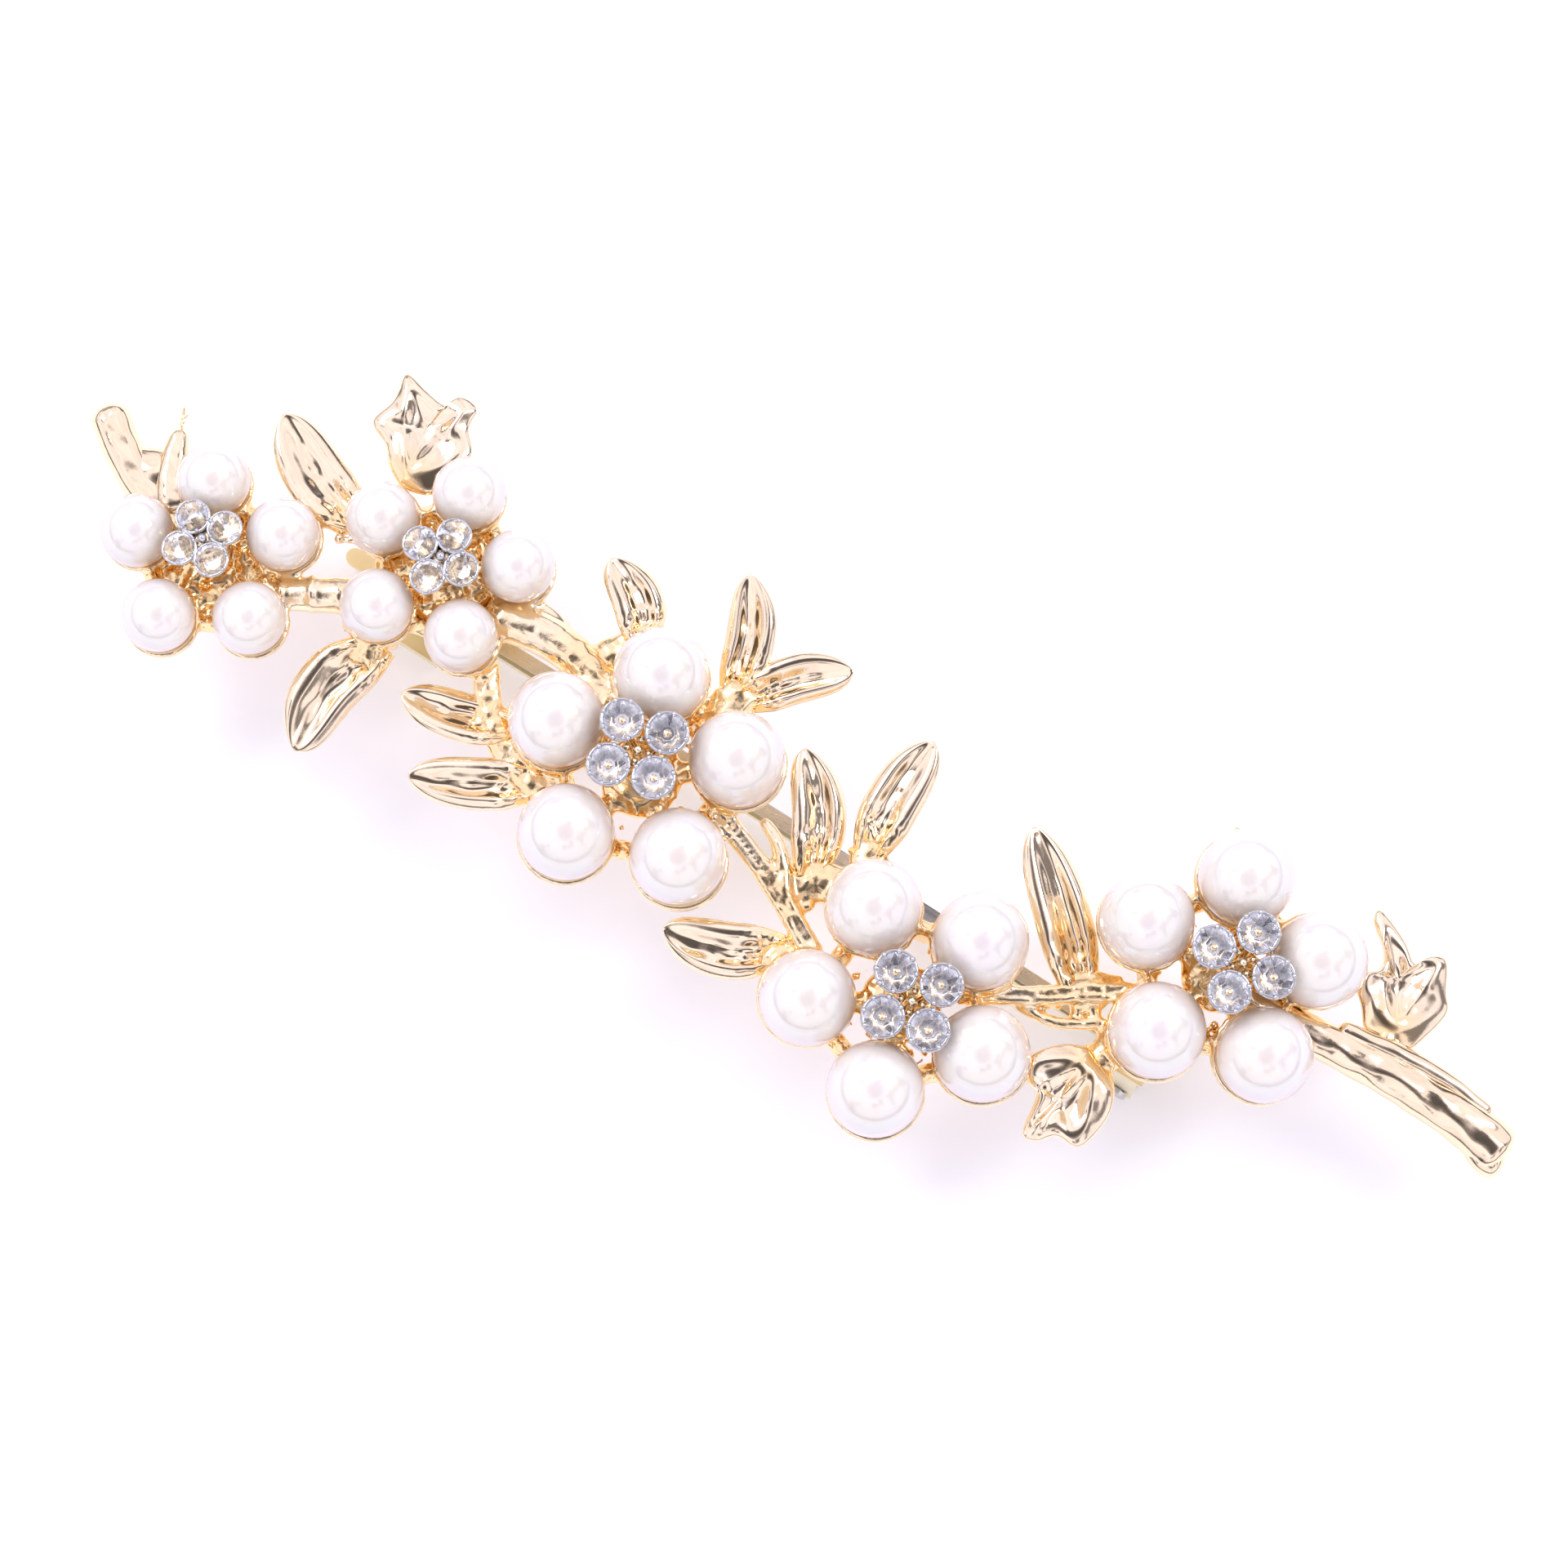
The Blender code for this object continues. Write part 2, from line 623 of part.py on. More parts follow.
def build_hinge_pin(material):
    """A plain rod with two flat riveted heads, turned about the hinge axis."""
    end = EAR_INNER_Y + EAR_THICKNESS + PLATE_GAP
    head = 0.25
    head_radius = PIN_BORE + 0.2
    profile = [
        (0, end + head),
        (head_radius, end + head),
        (head_radius, end),
        (PIN_RADIUS, end),
        (PIN_RADIUS, -end),
        (head_radius, -end),
        (head_radius, -end - head),
        (0, -end - head),
    ]
    pin = place("hinge_pin", turned_mesh("hinge_pin", profile, 16), material, (HINGE_X, 0, HINGE_Z))
    return along_y(pin)


def build_clip_arm(material):
    """Knuckle, slender bowed bar, window with stiffening lips, and a thumb tab, all in one."""
    hinge = Vector((HINGE_X, 0, HINGE_Z))
    knuckle_profile = [
        (PIN_BORE, KNUCKLE_HALF_WIDTH),
        (KNUCKLE_RADIUS, KNUCKLE_HALF_WIDTH),
        (KNUCKLE_RADIUS, -KNUCKLE_HALF_WIDTH),
        (PIN_BORE, -KNUCKLE_HALF_WIDTH),
        (PIN_BORE, KNUCKLE_HALF_WIDTH),
    ]
    arm = place("clip_arm", turned_mesh("knuckle", knuckle_profile, 16), material, hinge)
    along_y(arm)
    bar_end = HINGE_X - (KNUCKLE_RADIUS + PIN_BORE) / 2
    side_view = strip_outline(WINDOW_X[1] - 0.3, bar_end, arm_middle_z, ARM_THICKNESS)
    bits = [along_y(place("bar", plate_mesh("bar", [side_view], ARM_WIDTH), None))]
    half = WINDOW_HALF_WIDTH
    hole = rectangle(WINDOW_HOLE_X, (-WINDOW_HOLE_HALF_WIDTH, WINDOW_HOLE_HALF_WIDTH))
    window_height = WINDOW_Z[1] - WINDOW_Z[0]
    window = plate_mesh("window", [rectangle(WINDOW_X, (-half, half)), hole], window_height)
    middle_z = sum(WINDOW_Z) / 2
    bits.append(place("window", window, None, (0, 0, middle_z)))
    length = WINDOW_X[1] - WINDOW_X[0]
    for side in (-1, 1):
        where = (sum(WINDOW_X) / 2, side * (half - LIP_THICKNESS / 2 + 0.05), (WINDOW_Z[1] - 0.05) / 2)
        lip = box_mesh("lip", (length - 0.4, LIP_THICKNESS, WINDOW_Z[1] - 0.05))
        bits.append(place(f"lip_{side}", lip, None, where))
    radius = ARM_WIDTH / 2
    tab_outline = arc_points((TAB_TIP_X + radius, 0), radius, 90, 270, 8)
    tab_outline += [(WINDOW_X[0] + 0.3, -radius), (WINDOW_X[0] + 0.3, radius)]
    bits.append(place("tab", plate_mesh("tab", [tab_outline], window_height - 0.1), None, (0, 0, middle_z)))
    return joined(arm, bits)


def spring_middle_z(x):
    """A parabola through the spring's root, middle and free end."""
    tip_x, root_x = SPRING_X
    mid_x = (tip_x + root_x) / 2
    t = (x - mid_x) / (root_x - mid_x)
    rise = (SPRING_ROOT_Z - SPRING_TIP_Z) / 2
    fall = (SPRING_ROOT_Z + SPRING_TIP_Z) / 2 - SPRING_MID_Z
    return SPRING_MID_Z + rise * t + fall * t * t


def build_tension_spring(material):
    """The bowed strip over the arm, with a wider tab at its root."""
    tip_x, root_x = SPRING_X
    side_view = strip_outline(tip_x, root_x, spring_middle_z, SPRING_THICKNESS, 16)
    pivot = Vector((root_x, 0, SPRING_ROOT_Z))
    local = [(x - pivot.x, z - pivot.z) for x, z in side_view]
    spring = place("tension_spring", plate_mesh("strip", [local], SPRING_WIDTH), material, pivot)
    along_y(spring)
    tab = place("spring_tab", box_mesh("spring_tab", (1.0, 2.4, SPRING_THICKNESS + 0.02)), None, pivot)
    return joined(spring, [tab])


def build_latch(material):
    """The latch plate under flower 2, and two prongs that hang from it, each with a barb facing out."""
    plate_top = BOSS_FOOT_Z - PLATE_GAP
    plate_bottom = plate_top - PLATE_THICKNESS
    plate = place("latch_plate", box_mesh("latch_plate", (3.2, 3.6, PLATE_THICKNESS)), material)
    plate.location = Vector((LATCH_X, 0, (plate_top + plate_bottom) / 2)) * MM
    root_z = plate_bottom - PLATE_GAP
    barb_top = PRONG_FOOT_Z + BARB_HEIGHT
    for name, side in (("latch_prong_front", -1), ("latch_prong_back", 1)):
        inner = side * PRONG_INNER_Y
        outer = side * (PRONG_INNER_Y + PRONG_THICKNESS)
        tip = side * (PRONG_INNER_Y + PRONG_THICKNESS + BARB_REACH)
        pivot_y = (inner + outer) / 2
        outline = [
            (inner, root_z),
            (inner, PRONG_FOOT_Z),
            (outer, PRONG_FOOT_Z),
            (tip, barb_top),
            (outer, barb_top),
            (outer, root_z),
        ]
        local = [(y - pivot_y, z - root_z) for y, z in outline]
        prong = place(name, plate_mesh(name, [local], PRONG_WIDTH), material, (LATCH_X, pivot_y, root_z))
        prong.rotation_euler = (math.radians(90), 0, math.radians(90))


def build_clip():
    brass = make_material("clip_brass", PALE_BRASS)
    build_hinge_bracket(brass)
    build_hinge_pin(make_material("pin_steel", SPRING_STEEL))
    build_clip_arm(brass)
    build_tension_spring(make_material("spring_steel", SPRING_STEEL))
    build_latch(brass)


# ---------------------------------------------------------------------------------------------------------

clear_scene()
PARTS = new_collection("barrette")
CUTTERS = new_collection("cutters")
CUTTERS.hide_render = True
ORIGIN = bpy.data.objects.new("barrette_origin", None)
ORIGIN.location = (-CENTRE[0] * MM, -CENTRE[1] * MM, 0)
PARTS.objects.link(ORIGIN)

build_casting()
build_pearls()
setting_metal = make_material("setting_metal", SILVER_GILT)
crystal = make_material("crystal", CRYSTAL)
for flower_number, one_flower in enumerate(FLOWERS, 1):
    build_setting(flower_number, one_flower, setting_metal)
    build_stones(flower_number, one_flower, crystal)
build_clip()
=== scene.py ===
"""The visual model of a pearl-flower barrette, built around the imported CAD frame.

Lengths are in millimetres and angles in degrees, in the clip's own frame: the arm along X, its middle plane
at y = 0 and its feet at z = 0. Each finished mesh is turned into metres in the row frame by in_row_frame().
The studio's lengths are in metres.
"""

import math
import random

import bpy
import bmesh
import numpy as np
from mathutils import Matrix, Vector, noise


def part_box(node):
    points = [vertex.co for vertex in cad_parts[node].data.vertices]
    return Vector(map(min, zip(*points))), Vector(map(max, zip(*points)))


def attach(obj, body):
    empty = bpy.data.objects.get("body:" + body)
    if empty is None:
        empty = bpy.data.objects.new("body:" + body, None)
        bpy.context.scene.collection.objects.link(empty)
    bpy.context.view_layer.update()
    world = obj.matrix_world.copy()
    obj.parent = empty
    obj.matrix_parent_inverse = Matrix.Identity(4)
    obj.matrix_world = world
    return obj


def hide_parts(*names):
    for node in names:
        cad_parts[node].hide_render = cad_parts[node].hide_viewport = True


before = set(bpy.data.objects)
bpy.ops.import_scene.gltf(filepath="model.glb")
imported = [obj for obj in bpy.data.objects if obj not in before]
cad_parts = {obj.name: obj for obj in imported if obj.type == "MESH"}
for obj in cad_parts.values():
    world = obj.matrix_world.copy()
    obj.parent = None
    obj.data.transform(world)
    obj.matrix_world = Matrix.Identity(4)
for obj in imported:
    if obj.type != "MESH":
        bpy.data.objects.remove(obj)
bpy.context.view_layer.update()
MM = 0.001

# The hinge pin's middle ties the clip's frame to the row frame.
HINGE = Vector((26.6, 0.0, 1.15))
PIN_LOW, PIN_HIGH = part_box("hinge_pin")
ORIGIN = (PIN_LOW + PIN_HIGH) / 2 - HINGE * MM

# ------------------------
# Sizes

# The casting's back: its height at x = 0, its fall for each square millimetre of x, and its shift in y.
BACK_HEIGHT = 8.4
ARCH = 0.0015
CASTING_Y = -1.2

# The smooth grid that the casting is turned into, and the room left round each pearl.
VOXEL = 0.13
SEAT_GAP = 0.04

PEARLS_IN_RING = 5
STONES_IN_SETTING = 4
SMALL_PEARL = 4.0
LARGE_PEARL = 5.2
PEARL_FOOT = 0.5
PEARL_STEPS = 48

# Flowers: ring is the radius of the pearls' circle, turn and stones are the angles of the first pearl and the
# first stone, and lean is how far the stones lie off the middle.
FLOWERS = [
    {"centre": (-29.7, -4.2), "pearl": SMALL_PEARL, "ring": 4.2, "turn": 48,
     "stones": 56, "lean": (-0.3, 0.4)},
    {"centre": (-18.8, 2.1), "pearl": SMALL_PEARL, "ring": 4.15, "turn": 30,
     "stones": 0, "lean": (0.15, 0.05)},
    {"centre": (-3.7, -1.7), "pearl": LARGE_PEARL, "ring": 5.2, "turn": 38,
     "stones": 61, "lean": (-0.35, 0.5)},
    {"centre": (14.6, -4.5), "pearl": LARGE_PEARL, "ring": 5.1, "turn": 69,
     "stones": 61, "lean": (0.5, -0.2)},
    {"centre": (28.1, 6.2), "pearl": LARGE_PEARL, "ring": 5.0, "turn": 38,
     "stones": 6, "lean": (0.4, 0.4)},
]

# Stones in cups: the stone's diameter, the radius of their circle, the cup's radius at its foot and rim, and
# the height of its base, which the girdle is measured from.
LARGE_STONE = {"stone": 2.0, "ring": 1.77, "foot": 0.8, "rim": 1.2, "cup_z": 4.5}
SMALL_STONE = {"stone": 1.64, "ring": 1.32, "foot": 0.72, "rim": 0.99, "cup_z": 3.3}
STONE_GIRDLE = 0.98

# Stems: points along the middle as (x, y), radius at the start, the middle and the end, height of the middle
# over the back, width over height, and depth of the groove along the top as a share of the radius.
STEMS = {
    "bud_stem": ([(-31.4, -3.8), (-34.0, -3.3), (-35.6, -2.4)], (0.8, 0.75, 0.8), 0.9, 1.0, 0.0),
    "lower_link": ([(-27.4, -4.8), (-24.8, -3.2), (-21.0, -1.0)], (0.6, 0.85, 0.95), 1.0, 1.1, 0.0),
    "upper_link": ([(-28.2, 0.2), (-25.6, 1.2), (-22.6, 2.0)], (0.6, 0.42, 0.6), 0.8, 1.2, 0.0),
    "second_to_third": (
        [(-15.6, 1.2), (-12.6, 1.9), (-9.6, 1.7), (-6.6, 0.2)], (1.0, 0.98, 0.85), 1.0, 1.15, 0.0),
    "third_to_fourth": (
        [(0.2, -1.0), (3.2, -2.0), (6.4, -3.4), (9.8, -5.2)], (0.60, 0.54, 0.60), 1.2, 1.15, 0.6),
    "fourth_to_fifth": (
        [(16.8, -2.6), (20.4, -0.4), (23.4, 1.8), (26.0, 3.2)], (0.52, 0.50, 0.58), 1.2, 1.15, 0.6),
    "leaf_4_stalk": ([(-20.6, -2.2), (-19.6, -4.6)], (0.5, 0.55, 0.6), 0.8, 1.9, 0.0),
    "leaf_5_stalk": (
        [(-14.4, -0.6), (-12.0, -3.6), (-8.4, -5.2), (-6.8, -4.4)], (0.4, 0.5, 0.5), 0.8, 1.8, 0.0),
    "leaf_7_stalk": ([(-9.4, 1.8), (-7.6, 4.2), (-5.2, 4.8)], (0.5, 0.55, 0.5), 0.75, 1.9, 0.0),
    "leaf_8_stalk": ([(-1.6, 2.0), (-1.6, 5.6)], (0.6, 0.6, 0.55), 0.8, 2.0, 0.0),
    "leaf_10_stalk": ([(9.6, -6.2), (6.9, -6.0)], (0.55, 0.55, 0.55), 0.8, 1.8, 0.0),
    "leaf_11_stalk": ([(11.4, -0.9), (7.4, -1.4), (6.2, -3.2)], (0.55, 0.55, 0.5), 0.75, 2.1, 0.0),
    "leaf_12_stalk": ([(12.0, -0.6), (9.4, 0.4), (8.8, 2.2)], (0.6, 0.55, 0.5), 0.8, 1.9, 0.0),
    "leaf_13_stalk": ([(21.8, 0.8), (23.6, 2.2)], (0.6, 0.6, 0.6), 0.8, 1.9, 0.0),
    "leaf_14_stalk": ([(25.2, 0.6), (25.3, -2.0)], (0.5, 0.5, 0.5), 0.8, 1.8, 0.0),
    "leaf_15_stalk": ([(37.6, 6.8), (37.4, 8.8)], (0.6, 0.6, 0.6), 0.9, 1.2, 0.0),
    "upper_twig": ([(-15.6, 2.6), (-13.2, 3.2), (-11.4, 3.0)], (0.42, 0.35, 0.3), 0.9, 1.0, 0.0),
    "side_twig": ([(19.6, -1.2), (22.0, -1.0), (24.6, 0.6)], (0.4, 0.36, 0.4), 0.9, 1.0, 0.0),
    "branch_stub": ([(3.0, -0.2), (4.6, -1.0), (6.6, -3.2)], (0.3, 0.45, 0.4), 1.2, 1.0, 0.0),
}

# Pointed leaves: base, tip, half the width, sideways bend of the middle line, and the rise of the tip.
LEAVES = {
    "leaf_2": ((-24.2, 1.6), (-31.0, 4.7), 1.65, 0.35, 0.4),
    "leaf_4": ((-19.5, -3.2), (-20.3, -10.5), 1.7, -0.8, -0.4),
    "leaf_5": ((-10.9, -3.3), (-17.0, -4.9), 1.35, 0.2, 0.2),
    "leaf_6": ((-8.0, -5.0), (-14.3, -8.4), 1.35, 0.2, -0.3),
    "leaf_7": ((-7.4, 4.4), (-11.4, 7.4), 1.35, -0.5, 0.5),
    "leaf_8": ((-2.0, 4.8), (-4.6, 10.6), 1.3, -0.5, 0.6),
    "leaf_9": ((-1.2, 4.8), (2.9, 9.1), 1.25, 0.4, 0.5),
    "leaf_10": ((7.9, -5.6), (1.8, -8.1), 1.45, 0.5, -0.3),
    "leaf_11": ((6.9, -1.4), (3.0, 4.2), 1.4, -0.6, 0.3),
    "leaf_12": ((8.8, 1.2), (8.6, 8.2), 1.45, 0.2, 0.5),
    "leaf_13": ((22.6, 1.0), (15.6, 7.2), 1.5, -0.2, 0.5),
}

# Ivy leaves: outline, anticlockwise, the foot that the veins start from, and the tips that they run to.
IVY_LEAVES = {
    "ivy_3": (
        [(-23.2, 4.4), (-21.4, 5.2), (-20.8, 8.1), (-21.9, 9.5), (-22.1, 10.8), (-23.4, 10.9), (-23.9, 10.0),
         (-25.1, 10.1), (-26.9, 10.4), (-26.6, 8.6), (-27.0, 6.9), (-25.6, 6.2), (-24.7, 5.2)],
        (-23.3, 5.0),
        [(-26.6, 10.0), (-22.7, 10.5), (-26.4, 7.0), (-21.3, 8.2)],
    ),
    "ivy_14": (
        [(24.4, -0.8), (22.9, -1.6), (21.7, -3.2), (22.4, -4.5), (23.3, -4.9), (23.7, -7.1), (24.7, -7.1),
         (25.5, -6.2), (27.0, -6.0), (27.4, -3.4), (26.4, -1.6)],
        (25.0, -1.4),
        [(24.2, -6.8), (22.2, -3.4), (26.8, -5.6), (27.0, -3.2), (23.0, -4.6)],
    ),
    "ivy_15": (
        [(36.2, 7.5), (38.7, 7.6), (39.5, 9.3), (39.8, 11.1), (39.1, 12.0), (38.2, 13.6), (37.2, 13.3),
         (36.7, 12.4), (35.6, 13.2), (33.4, 14.0), (33.4, 13.1), (34.8, 12.0), (35.1, 11.0), (34.3, 10.2),
         (34.5, 9.4), (35.4, 8.6)],
        (37.4, 8.3),
        [(33.8, 13.5), (38.0, 13.2), (39.4, 10.8), (34.8, 9.8)],
    ),
}

# Leaves: their height over the casting's back, their thickness, the tilt across of one after another, and the
# rounds of smoothing of the ivy leaves.
LEAF_LIFT = 0.35
LEAF_THICKNESS = 0.9
LEAF_LEANS = (0.30, -0.26, 0.34, -0.2, 0.28, -0.34)
IVY_SMOOTHING = 14

# Bud, spur and tail: points along the middle, radius at the start, the middle and the end, height over the
# back at the start and the end, width over height, and groove.
FINGERS = {
    "bud": (
        [(-32.8, -3.6), (-35.6, -2.6), (-37.7, -1.4), (-39.7, 0.1)],
        (0.80, 0.92, 0.98), (0.9, 1.35), 1.15, 0.10),
    "spur": ([(-32.8, -3.2), (-34.3, -1.4), (-35.4, 1.1)], (1.05, 0.82, 0.36), (0.9, 1.5), 1.15, 0.10),
    "web": ([(-37.0, -2.2), (-35.6, -1.9), (-34.2, -1.2)], (0.7, 0.9, 0.7), (0.85, 1.0), 1.7, 0.0),
    "tail": (
        [(29.4, 5.6), (33.4, 6.0), (38.5, 6.5), (43.2, 6.6), (46.3, 6.2)],
        (0.72, 0.95, 1.16), (0.9, 0.9), 1.25, 0.0),
    "tail_twig": (
        [(35.0, 7.1), (38.0, 7.6), (41.0, 7.9), (44.4, 7.75)], (0.42, 0.5, 0.3), (1.25, 1.25), 1.1, 0.0),
    "tail_lip": ([(43.8, 6.2), (45.3, 5.75), (46.4, 5.9)], (0.5, 0.8, 0.75), (0.85, 0.85), 1.25, 0.0),
}

# How far the tail and the others ripple up and down.
TAIL_RIPPLE = 0.11
OTHER_RIPPLE = 0.04

# Casting flash at the spur's tip: where the first wire stands, and the step to the next.
FLASH_WIRES = 5
FLASH_FOOT = (-35.25, 1.0, 1.5)
FLASH_STEP = (-0.12, 0.22)

# Rings round the lower link, as (x, y, radius), and the way that they face.
WRAPS = ((-25.6, -3.7, 1.0), (-24.2, -2.8, 1.15), (-22.9, -2.1, 1.05))
WRAP_AXIS = (3.2, 1.9, 0)

# Cast beads: the range of their heights, how many there are in each place, and where those on the two links
# between flowers 1 and 2 start and how far they run.
BEAD_HEIGHTS = (0.6, 1.3)
BEADS_ON_LARGE_FLOWER = 60
BEADS_ON_SMALL_FLOWER = 70
BEADS_ON_STALK = 34
BEADS_ON_LINKS = 40
LOWER_LINK_BEADS = ((-27, -4.4), (5.5, 3.4))
UPPER_LINK_BEADS = ((-28, 0.3), (5, 1.6))
LOWER_LINK_SHARE = 0.6

# Solder bosses under the casting, over the hinge bracket and the latch plate, as (x, y, height).
BOSSES = ((HINGE.x, 0.2, 1.1), (-19.8, 0.3, 1.5))
BOSS_FOOT = 6.9
BOSS_RADIUS = 1.5

# A short wire with a ball on its end beside flower 5, as (x, y, height over the back).
WIRE_FOOT = (25.6, 11.6, 0.9)
WIRE_TIP = (24.8, 13.0, 1.9)

# The stretch of the stem between flowers 2 and 3 with bark on it: from x, to x, and its height over the back.
BARK = (-14.5, -7.6, 1.3)

DICE = random.Random(5)


# ------------------------
# Places


def back_z(x):
    """Height of the casting's back at x."""
    return BACK_HEIGHT - ARCH * x * x


def over_back(points):
    """Height of each point over the casting's back."""
    return points[:, 2] - (BACK_HEIGHT - ARCH * points[:, 0] ** 2)


def on_casting(x, y, height):
    """A place on the branch, its height measured from the casting's back."""
    return Vector((x, y + CASTING_Y, back_z(x) + height))


def flower_frame(flower):
    """The matrix of a flower: its origin on the casting's back, its Z out of the face."""
    x, y = flower["centre"]
    return Matrix.Translation(on_casting(x, y, 0)) @ Matrix.Rotation(math.atan(2 * ARCH * x), 4, "Y")


def ring_points(count, radius, first_angle, middle=(0, 0)):
    """Points spread evenly round a circle, as (x, y)."""
    angles = [math.radians(first_angle + 360 * k / count) for k in range(count)]
    return [(middle[0] + radius * math.cos(a), middle[1] + radius * math.sin(a)) for a in angles]


def pearl_places(flower):
    return ring_points(PEARLS_IN_RING, flower["ring"], flower["turn"])


def stone_kind(flower):
    return SMALL_STONE if flower["pearl"] == SMALL_PEARL else LARGE_STONE


def stone_places(flower):
    return ring_points(STONES_IN_SETTING, stone_kind(flower)["ring"], flower["stones"], flower["lean"])


def at_point(matrix, x, y, z=0.0):
    return matrix @ Matrix.Translation((x, y, z))


def in_row_frame(points):
    """Millimetres in the clip's frame to metres in the row frame."""
    return np.asarray(points, float) * MM + np.array(ORIGIN)


# ------------------------
# Closed shapes, each as (points, faces)


def loft(loops):
    """A closed skin over equal loops of points, each end closed by a fan about its middle."""
    count = len(loops[0])
    points = [Vector(p) for loop in loops for p in loop]
    faces = []
    for row in range(len(loops) - 1):
        for j in range(count):
            a, b = row * count + j, row * count + (j + 1) % count
            faces.append((a, b, b + count, a + count))
    for row in (0, len(loops) - 1):
        middle = len(points)
        points.append(sum((Vector(p) for p in loops[row]), Vector()) / count)
        for j in range(count):
            a, b = row * count + j, row * count + (j + 1) % count
            faces.append((b, a, middle) if row == 0 else (a, b, middle))
    return points, faces


def turned(profile, steps, matrix=Matrix()):
    """A profile of (radius, height) points, from axis to axis, turned about the Z axis of a matrix."""
    loops = []
    for radius, height in profile:
        ring = ring_points(steps, max(radius, 1e-4), 0)
        loops.append([matrix @ Vector((x, y, height)) for x, y in ring])
    return loft(loops)


def ball(matrix, radius, steps, squash=1.0):
    """A ball about a matrix's origin, its height multiplied by squash."""
    rows = max(5, steps // 2)
    angles = [math.pi * (k + 0.5) / rows for k in range(rows)]
    profile = [(radius * math.sin(a), -radius * squash * math.cos(a)) for a in angles]
    profile = [(0.0, -radius * squash)] + profile + [(0.0, radius * squash)]
    return turned(profile, steps, matrix)


def curve_through(points, steps):
    """Points along a smooth curve (Catmull-Rom) through the given ones."""
    points = [Vector(p) for p in points]
    ends = [2 * points[0] - points[1]] + points + [2 * points[-1] - points[-2]]
    spans = len(points) - 1
    result = []
    for k in range(steps + 1):
        at = min(k / steps * spans, spans - 1e-9)
        i, t = int(at), at - int(at)
        a, b, c, d = ends[i : i + 4]
        result.append(
            0.5 * (2 * b + (c - a) * t + (2 * a - 5 * b + 4 * c - d) * t * t + (3 * b - a - 3 * c + d) * t**3)
        )
    return result


def along_three(values, t):
    """A smooth value through three: at t 0, 0.5 and 1."""
    a, b, c = values
    return a * (1 - t) * (1 - 2 * t) + 4 * b * t * (1 - t) + c * t * (2 * t - 1)


def bar(route, radii, flat, groove=0.0, *, sides, steps):
    """A bar with round ends along a smooth route, wider than high by flat, grooved along its top."""
    blunt, groove_width = 0.03, 0.38
    line = curve_through(route, steps)
    length = sum((b - a).length for a, b in zip(line, line[1:]))
    loops = []
    for k, point in enumerate(line):
        t = k / steps
        ahead = (line[min(k + 1, steps)] - line[max(k - 1, 0)]).normalized()
        side = ahead.cross(Vector((0, 0, 1))).normalized()
        up = side.cross(ahead)
        radius = along_three(radii, t)
        shrink = 1.0
        for walked in (length * t, length * (1 - t)):
            if walked < radius:
                shrink = min(shrink, blunt + (1 - blunt) * math.sqrt(1 - (1 - walked / radius) ** 2))
        loop = []
        for j in range(sides):
            angle = 2 * math.pi * j / sides
            off_top = math.atan2(math.sin(angle - math.pi / 2), math.cos(angle - math.pi / 2))
            reach = radius * shrink * (1 - groove * math.exp(-((off_top / groove_width) ** 2)))
            loop.append(point + side * (math.cos(angle) * reach * flat) + up * (math.sin(angle) * reach))
        loops.append(loop)
    return loft(loops)


def rod(start, end, radius, end_radius, sides=10):
    """A straight rod with round ends."""
    start, end = Vector(start), Vector(end)
    turn = (end - start).to_track_quat("Z", "Y").to_matrix().to_4x4()
    length = (end - start).length
    arc = ((0.5, 0.87), (0.87, 0.5))
    profile = [(0, -radius)] + [(radius * a, -radius * b) for a, b in arc] + [(radius, 0)]
    profile += [(end_radius, length)] + [(end_radius * b, length + end_radius * a) for a, b in arc]
    profile.append((0, length + end_radius))
    return turned(profile, sides, Matrix.Translation(start) @ turn)


# ------------------------
# Materials


